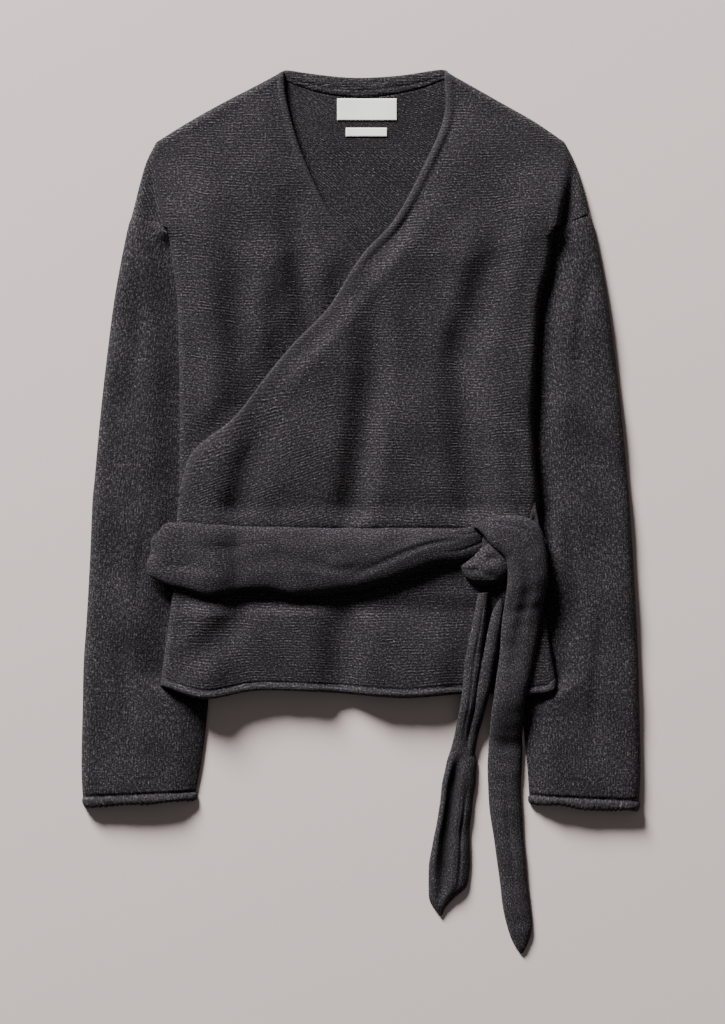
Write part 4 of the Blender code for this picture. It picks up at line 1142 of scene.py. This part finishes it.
def makeSashBack():
    # The hidden stretch is a flat band between the back and what lies below it.
    look = sashBackLook
    xs = np.array(look["level"], float)
    z = overSleeves(xs, np.full(xs.shape, -40.0)) + cloth["wall"]
    leftX, leftZ = quarterTurn(sash["wrapLeft"], -1, look["turnReach"], -look["turnDepth"])
    rightX, rightZ = quarterTurn(sash["wrapRight"], 1, look["turnReach"], -look["turnDepth"])
    level = cloth["sleeveStack"] + cloth["wall"]
    widths = np.concatenate([look["leftWidths"], np.full(len(xs), look["wide"]),
                             look["rightWidths"]])
    xs = np.concatenate([leftX[::-1], xs, rightX])
    z = np.concatenate([leftZ[::-1] - leftZ[0] + level, z, rightZ - rightZ[0] + level])
    path = np.column_stack([xs, look["middle"] + widths / 2, xs, look["middle"] - widths / 2, z,
                            np.full(len(xs), look["height"])])[::-1]
    makeStrip("cardigan_sash_back", "sash_back", path, look)


knotPaths = {
    # the edge to the left of the heading, the other edge, height of the foot, own height
    "knot": ((131, -8, 113, -8, 15.8, 3.4), (132, -20, 112, -20, 16.1, 3.8),
             (131, -34, 111, -34, 15.7, 3.8), (127, -42, 111, -42, 15.4, 3.6)),
    "tailRight": (
        (102.1, -12, 103, -14.3, 17.6, 1), (109.5, -8.7, 107.6, -17, 18.2, 3.5),
        (117.8, -6, 114.1, -23.5, 20.2, 6), (127, -3.8, 119.6, -30.8, 22.6, 8),
        (138, -3.5, 125.1, -36.3, 24, 9), (150, -5.1, 129.7, -40, 24.4, 9.5),
        (160.1, -10.6, 132.5, -43.7, 24.6, 9.5), (166.5, -22.5, 133.9, -49.2, 24.6, 9.5),
        (169.7, -35.4, 134.3, -56.6, 24.6, 9.5), (171.1, -49.2, 134.3, -64.9, 24.2, 9.5),
        (171.1, -63, 133.4, -74.1, 22.5, 9.5), (168.8, -76.8, 132, -84.2, 20, 9),
        (165.6, -92.5, 130.2, -97.1, 17.5, 8.5), (160.1, -130.2, 127.4, -132, 15.6, 8),
        (151.8, -167.9, 122.4, -167, 16.2, 8), (150, -184.5, 120.1, -183.5, 13, 8),
        (149.5, -201, 118.7, -200.1, 6.5, 8.5), (149, -217.6, 117.8, -216.7, 1, 9),
        (148.1, -264.5, 117.8, -264.5, 0, 9), (152.7, -329.8, 126.5, -329.8, 0, 8.5),
        (156.4, -362, 130.6, -364.8, 0, 7.5), (157.8, -385, 136.2, -386.9, 0, 7),
        (153.6, -399.7, 140.8, -398.8, 0, 5.5), (149.5, -407.8, 146.3, -407.4, 0, 3)),
    "tailLeft": (
        (117.8, -74.1, 107.6, -75, 12.6, 5), (115, -105.3, 102.1, -105.3, 11.4, 7),
        (111.3, -137.5, 95.7, -137.5, 10.4, 7), (106.7, -169.7, 92.6, -169.7, 10.6, 7),
        (103, -190, 89.2, -190, 6, 7.5), (101.2, -207.5, 86, -207.5, 1.2, 8),
        (104, -219.4, 82.8, -219.4, 0, 8.5), (107.2, -230.5, 79.1, -230.5, 0, 9),
        (106.4, -243.3, 76.7, -243.3, 0, 9.5), (104.5, -260.8, 73.6, -260.8, 0, 9.5),
        (102.1, -278.3, 71.8, -278.3, 0, 9.5), (100.3, -295.8, 68.4, -295.8, 0, 9.5),
        (100.6, -313.3, 65, -313.3, 0, 9.5), (100.6, -330.7, 62.3, -330.7, 0, 9.5),
        (97.5, -346.4, 62.3, -348.2, 0, 8.5), (86.5, -356.5, 63.5, -359.3, 0, 7),
        (78.2, -365.7, 68.1, -367.5, 0, 5), (75, -372.6, 72.2, -373.1, 0, 3)),
    "tailLeftFold": (
        (131, -80, 127, -80, 12.6, 2), (131, -92, 121, -92, 12.2, 5),
        (129, -108, 117, -108, 11.6, 7), (126.5, -126, 113, -126, 10.8, 7.5),
        (121.5, -151, 108, -151, 10.6, 7.5), (118, -169, 105, -169, 10.2, 7.5),
        (113.5, -187, 101.5, -187, 6, 7.5), (109.5, -202, 98, -202, 2, 7.5),
        (106.5, -216, 95.5, -216, 0.3, 7.5), (104.5, -230, 91.5, -230, 0, 7),
        (103, -243, 91, -243, 0, 5.5), (101, -252, 93, -252, 0, 3)),
}

lobe = {
    # the loop's outline in plan, its dent and its fold
    "outline": ((91.6, -50.1), (93.8, -56.6), (97.1, -61.6), (102.1, -65.6), (107.6, -67.6),
                (115.9, -68.4), (125.1, -66.1), (132.5, -61.9), (138, -53), (136.2, -42),
                (130.6, -31), (123, -26.5), (116, -28.5), (110, -33.5), (103.5, -41),
                (97, -46)),
    "centre": (116.0, -51.0), "height": 13.5, "rings": 26, "columns": 120,
    "foot": ((98, 12.2), (108, 12.2), (119, 13.8), (128, 15.8)),
    "dent": (118.7, -43.7, 5.5, 4.2, 3.0),      # across, up, two half widths, depth
    "fold": ((94.0, -53.0), (108.0, -55.0), (124.0, -61.0)),
}


def makeLobe():
    # The loop is a cushion over its own outline: height H (1 - r^2.4)^(1/2.4) for a share r of
    # the way out to the outline, with a dent and a soft fold. The inner face follows below.
    corners = np.array(lobe["outline"] + lobe["outline"][:1], float)
    curve = curveThrough(corners, 0.5)[:-1]
    pick = np.linspace(0, len(curve), lobe["columns"], endpoint=False).astype(int)
    rim = curve[pick]
    middle = np.array(lobe["centre"])
    r = np.sin(0.5 * np.pi * np.linspace(1, 0.02, lobe["rings"]))[:, None]
    x = middle[0] + r * (rim[:, 0] - middle[0])
    y = middle[1] + r * (rim[:, 1] - middle[1])
    foot = readTable(lobe["foot"], x)
    dome = (1 - r ** 2.4).clip(0, 1) ** (1 / 2.4) + 0 * x
    dentX, dentY, dentWide, dentTall, depth = lobe["dent"]
    dent = depth * np.exp(-((x - dentX) / dentWide) ** 2 - ((y - dentY) / dentTall) ** 2)
    fold = nearestOn(x, y, np.array(lobe["fold"], float))[0]
    dip = 0.8 * np.exp(-(fold / 2.6) ** 2) + 0.5 * noiseField(x, y, 16.0, 54)
    swell = dome * np.maximum(lobe["height"] - dent - dip, 1.5)
    shrink = 1 - 0.1 * (1 - dome)
    outer = np.stack([x, y, foot + swell], axis=-1).reshape(-1, 3)
    inner = np.stack([middle[0] + (x - middle[0]) * shrink, middle[1] + (y - middle[1]) * shrink,
                      foot + np.maximum(swell - cloth["wall"], 0.1 * dome)],
                     axis=-1).reshape(-1, 3)
    rings, columns = x.shape
    size = rings * columns
    cap = capFaces(columns, (rings - 1) * columns)
    faces = np.vstack([
        gridFaces(rings, columns, 0, True, True), gridFaces(rings, columns, size, False, True),
        joinRings(np.arange(columns), size), cap, cap[:, ::-1] + size])
    uv = np.vstack([outer[:, :2], inner[:, :2]])
    piece = addSurface("cardigan_knot_loop", np.vstack([outer, inner]), faces, uv, woolJersey)
    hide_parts("knot_loop")


def makeKnot():
    knotLook = {"seed": 51, "squareness": ((0, 2.4), (1, 2.4)), "step": 0.8}
    makeStrip("cardigan_knot", "knot", knotPaths["knot"], knotLook)
    makeLobe()


tailLooks = {
    # creases: half width as a share, then rows of place along, place across, depth
    "right": {"seed": 61, "creases": (
        (0.5, ((0.08, -0.1, 0.0), (0.15, -0.05, 1.0), (0.24, 0.0, 1.8), (0.32, -0.1, 1.2),
               (0.4, -0.15, 0.0))),
        (0.22, ((0.02, 0.5, 0.0), (0.1, 0.45, 1.0), (0.18, 0.5, 0.0))),
        (0.3, ((0.6, 0.1, 0.0), (0.75, 0.05, 0.9), (0.92, 0.0, 0.0))))},
    "left": {"seed": 64, "squareness": ((0, 2.4), (1, 2.4)), "segments": 60, "creases": (
        (0.3, ((0.05, 0.2, 0.4), (0.2, 0.1, 0.8), (0.4, 0.1, 0.5), (0.46, 0.0, 0.0))),
        (0.5, ((0.5, -0.3, 0.0), (0.58, -0.34, 7.0), (0.74, -0.36, 8.0), (0.88, -0.3, 6.0),
               (0.97, -0.2, 0.0))),
        (0.14, ((0.6, 0.5, 0.0), (0.7, 0.5, 2.0), (0.86, 0.5, 1.6), (0.92, 0.5, 0.0)))),
             # painted shade along the deep trough of the folded tail
             "hollow": (0.48, ((0.48, -0.3, 0.0), (0.56, -0.34, 0.8), (0.84, -0.34, 0.8),
                               (0.93, -0.2, 0.0)))},
    "leftFold": {"seed": 67, "squareness": ((0, 2.2), (1, 2.2)), "segments": 30},
}


def makeTails():
    makeStrip("cardigan_tail_right", "tail_right", knotPaths["tailRight"], tailLooks["right"])
    makeStrip("cardigan_tail_left", "tail_left", knotPaths["tailLeft"], tailLooks["left"])
    makeStrip("cardigan_tail_left_fold", "tail_left_fold", knotPaths["tailLeftFold"],
              tailLooks["leftFold"])


# Neckband and labels


def evenly(points, count):
    # A curve through the points, read at a count of even steps.
    curve = curveThrough(points, 2.0)
    share = np.linspace(0, len(curve) - 1, count)
    return np.column_stack([np.interp(share, np.arange(len(curve)), row) for row in curve.T])


neckband = {
    "lower": ((-73, 399), (-66, 395.4), (-38, 386.4), (-10, 382.4), (20, 383.4), (52, 389.4),
              (74, 397.4), (82, 400)),
    "upper": ((-72, 406.3), (-67, 407.4), (-40, 403.5), (-5, 400.5), (35, 402.5), (74, 408),
              (82, 404)),
    "rows": 120, "columns": 29,
}


def makeNeckband():
    # A folded strip round the back of the neck: its edges are quarter ellipses, with a soft
    # ridge along its middle and a narrow groove below the ridge. Its ends run under the fronts.
    low, high = (evenly(neckband[key], neckband["rows"]) for key in ("lower", "upper"))
    across = np.linspace(0, 1, neckband["columns"])[None, :, None]
    plan = low[:, None, :] * (1 - across) + high[:, None, :] * across
    x, y = plan[..., 0], plan[..., 1]
    s = np.broadcast_to(across[..., 0], x.shape)
    ridge = np.exp(-((s - 0.55) / 0.2) ** 2)
    groove = np.exp(-((s - 0.36) / 0.06) ** 2)
    rim = np.sqrt(np.clip(1 - np.clip(1 - np.minimum(s, 1 - s) / 0.16, 0, 1) ** 2, 0, 1))
    ends = ease((x + 74) / 6) * ease((83 - x) / 8)
    top = 0.9 + rim * (1.2 + ends * (1.3 + 0.5 * ridge - 0.35 * groove)
                       + 0.25 * noiseField(x, y, 9.0, 71))
    under = 0.6 * (1 - rim)
    grid = (x[:, ::-1], y[:, ::-1], y[:, ::-1])
    piece = makePanel("cardigan_neckband", grid, top[:, ::-1], under[:, ::-1],
                      woolPurl)
    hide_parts("neckband")


def makeLabel(name, node, box):
    # A blank woven label, sewn on at its ends: a flat patch with a low raised border.
    left, right, bottom, top = box
    border = np.array((0, 0.25, 0.7, 1.3, 2.0))
    wide, tall = right - left, top - bottom
    u = np.concatenate([border, np.linspace(3, wide - 3, 40), wide - border[::-1]])
    v = np.concatenate([border, np.linspace(2.6, tall - 2.6, 14), tall - border[::-1]])
    x, y = np.meshgrid(left + u, top - v)
    edge = np.minimum(np.minimum(x - left, right - x), np.minimum(y - bottom, top - y))
    base = cloth["wall"] + 0.3 + 0.5 * noiseField(x, y, 60.0, 3)
    height = (base + 0.95 - 0.35 * (1 - ease(edge / 0.7))
              - 0.12 * np.exp(-((edge - 1.6) / 0.3) ** 2))
    piece = makePanel(name, (x, y, y), height, base, labelTape)
    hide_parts(node)


# The stage


stage = {
    # in metres
    "half": 3.0,                                 # of the floor's side
    "skyColour": "#FFFCFA", "skyStrength": 0.11,
    "keyFrom": (-2.7, 5.25, 2.8), "keySize": 2.2, "keyPower": 1530.0,    # a big soft disk
    "shotCentre": (0.0014, -0.0005), "shotHeight": 3.0,
    "shotPlane": 0.012, "shotTall": 0.9421,      # what the picture's height spans at that plane
    "sensor": 36.0,
}


def makeStage():
    half = stage["half"]
    mesh = bpy.data.meshes.new("floor")
    mesh.from_pydata([(-half, -half, 0), (half, -half, 0), (half, half, 0), (-half, half, 0)],
                     [], [(0, 1, 2, 3)])
    mesh.materials.append(floorFinish())
    floor = bpy.data.objects.new("floor", mesh)

    world = bpy.data.worlds.new("studio")
    world.use_nodes = True
    sky = world.node_tree.nodes["Background"]
    sky.inputs["Color"].default_value = toLinear(stage["skyColour"])
    sky.inputs["Strength"].default_value = stage["skyStrength"]
    bpy.context.scene.world = world

    light = bpy.data.lights.new("key", "AREA")
    light.shape = "DISK"
    light.size = stage["keySize"]
    light.energy = stage["keyPower"]
    lamp = bpy.data.objects.new("key", light)
    lamp.location = stage["keyFrom"]
    lamp.rotation_euler = (-Vector(stage["keyFrom"])).to_track_quat("-Z", "Y").to_euler()

    view = bpy.data.cameras.new("camera")
    view.sensor_width = stage["sensor"]
    view.lens = (stage["sensor"] * (stage["shotHeight"] - stage["shotPlane"])
                 / stage["shotTall"])
    camera = bpy.data.objects.new("camera", view)
    camera.location = (*stage["shotCentre"], stage["shotHeight"])
    for piece in (floor, lamp, camera):
        bpy.context.scene.collection.objects.link(piece)
    bpy.context.scene.camera = camera
    print("stage made")


makeStage()
makeSleeve("cardigan_sleeve_right", "sleeve_right", 1)
makeSleeve("cardigan_sleeve_left", "sleeve_left", -1)
makeBack()
makeFrontUnder()
makeFrontOver()
makeNeckband()
makeLabel("cardigan_label_main", "label_main", (-22, 33, 361, 381))
makeLabel("cardigan_label_small", "label_small", (-14, 24, 346, 354))
makeSashBack()
makeSashFront()
makeSashSide()
makeKnot()
makeTails()
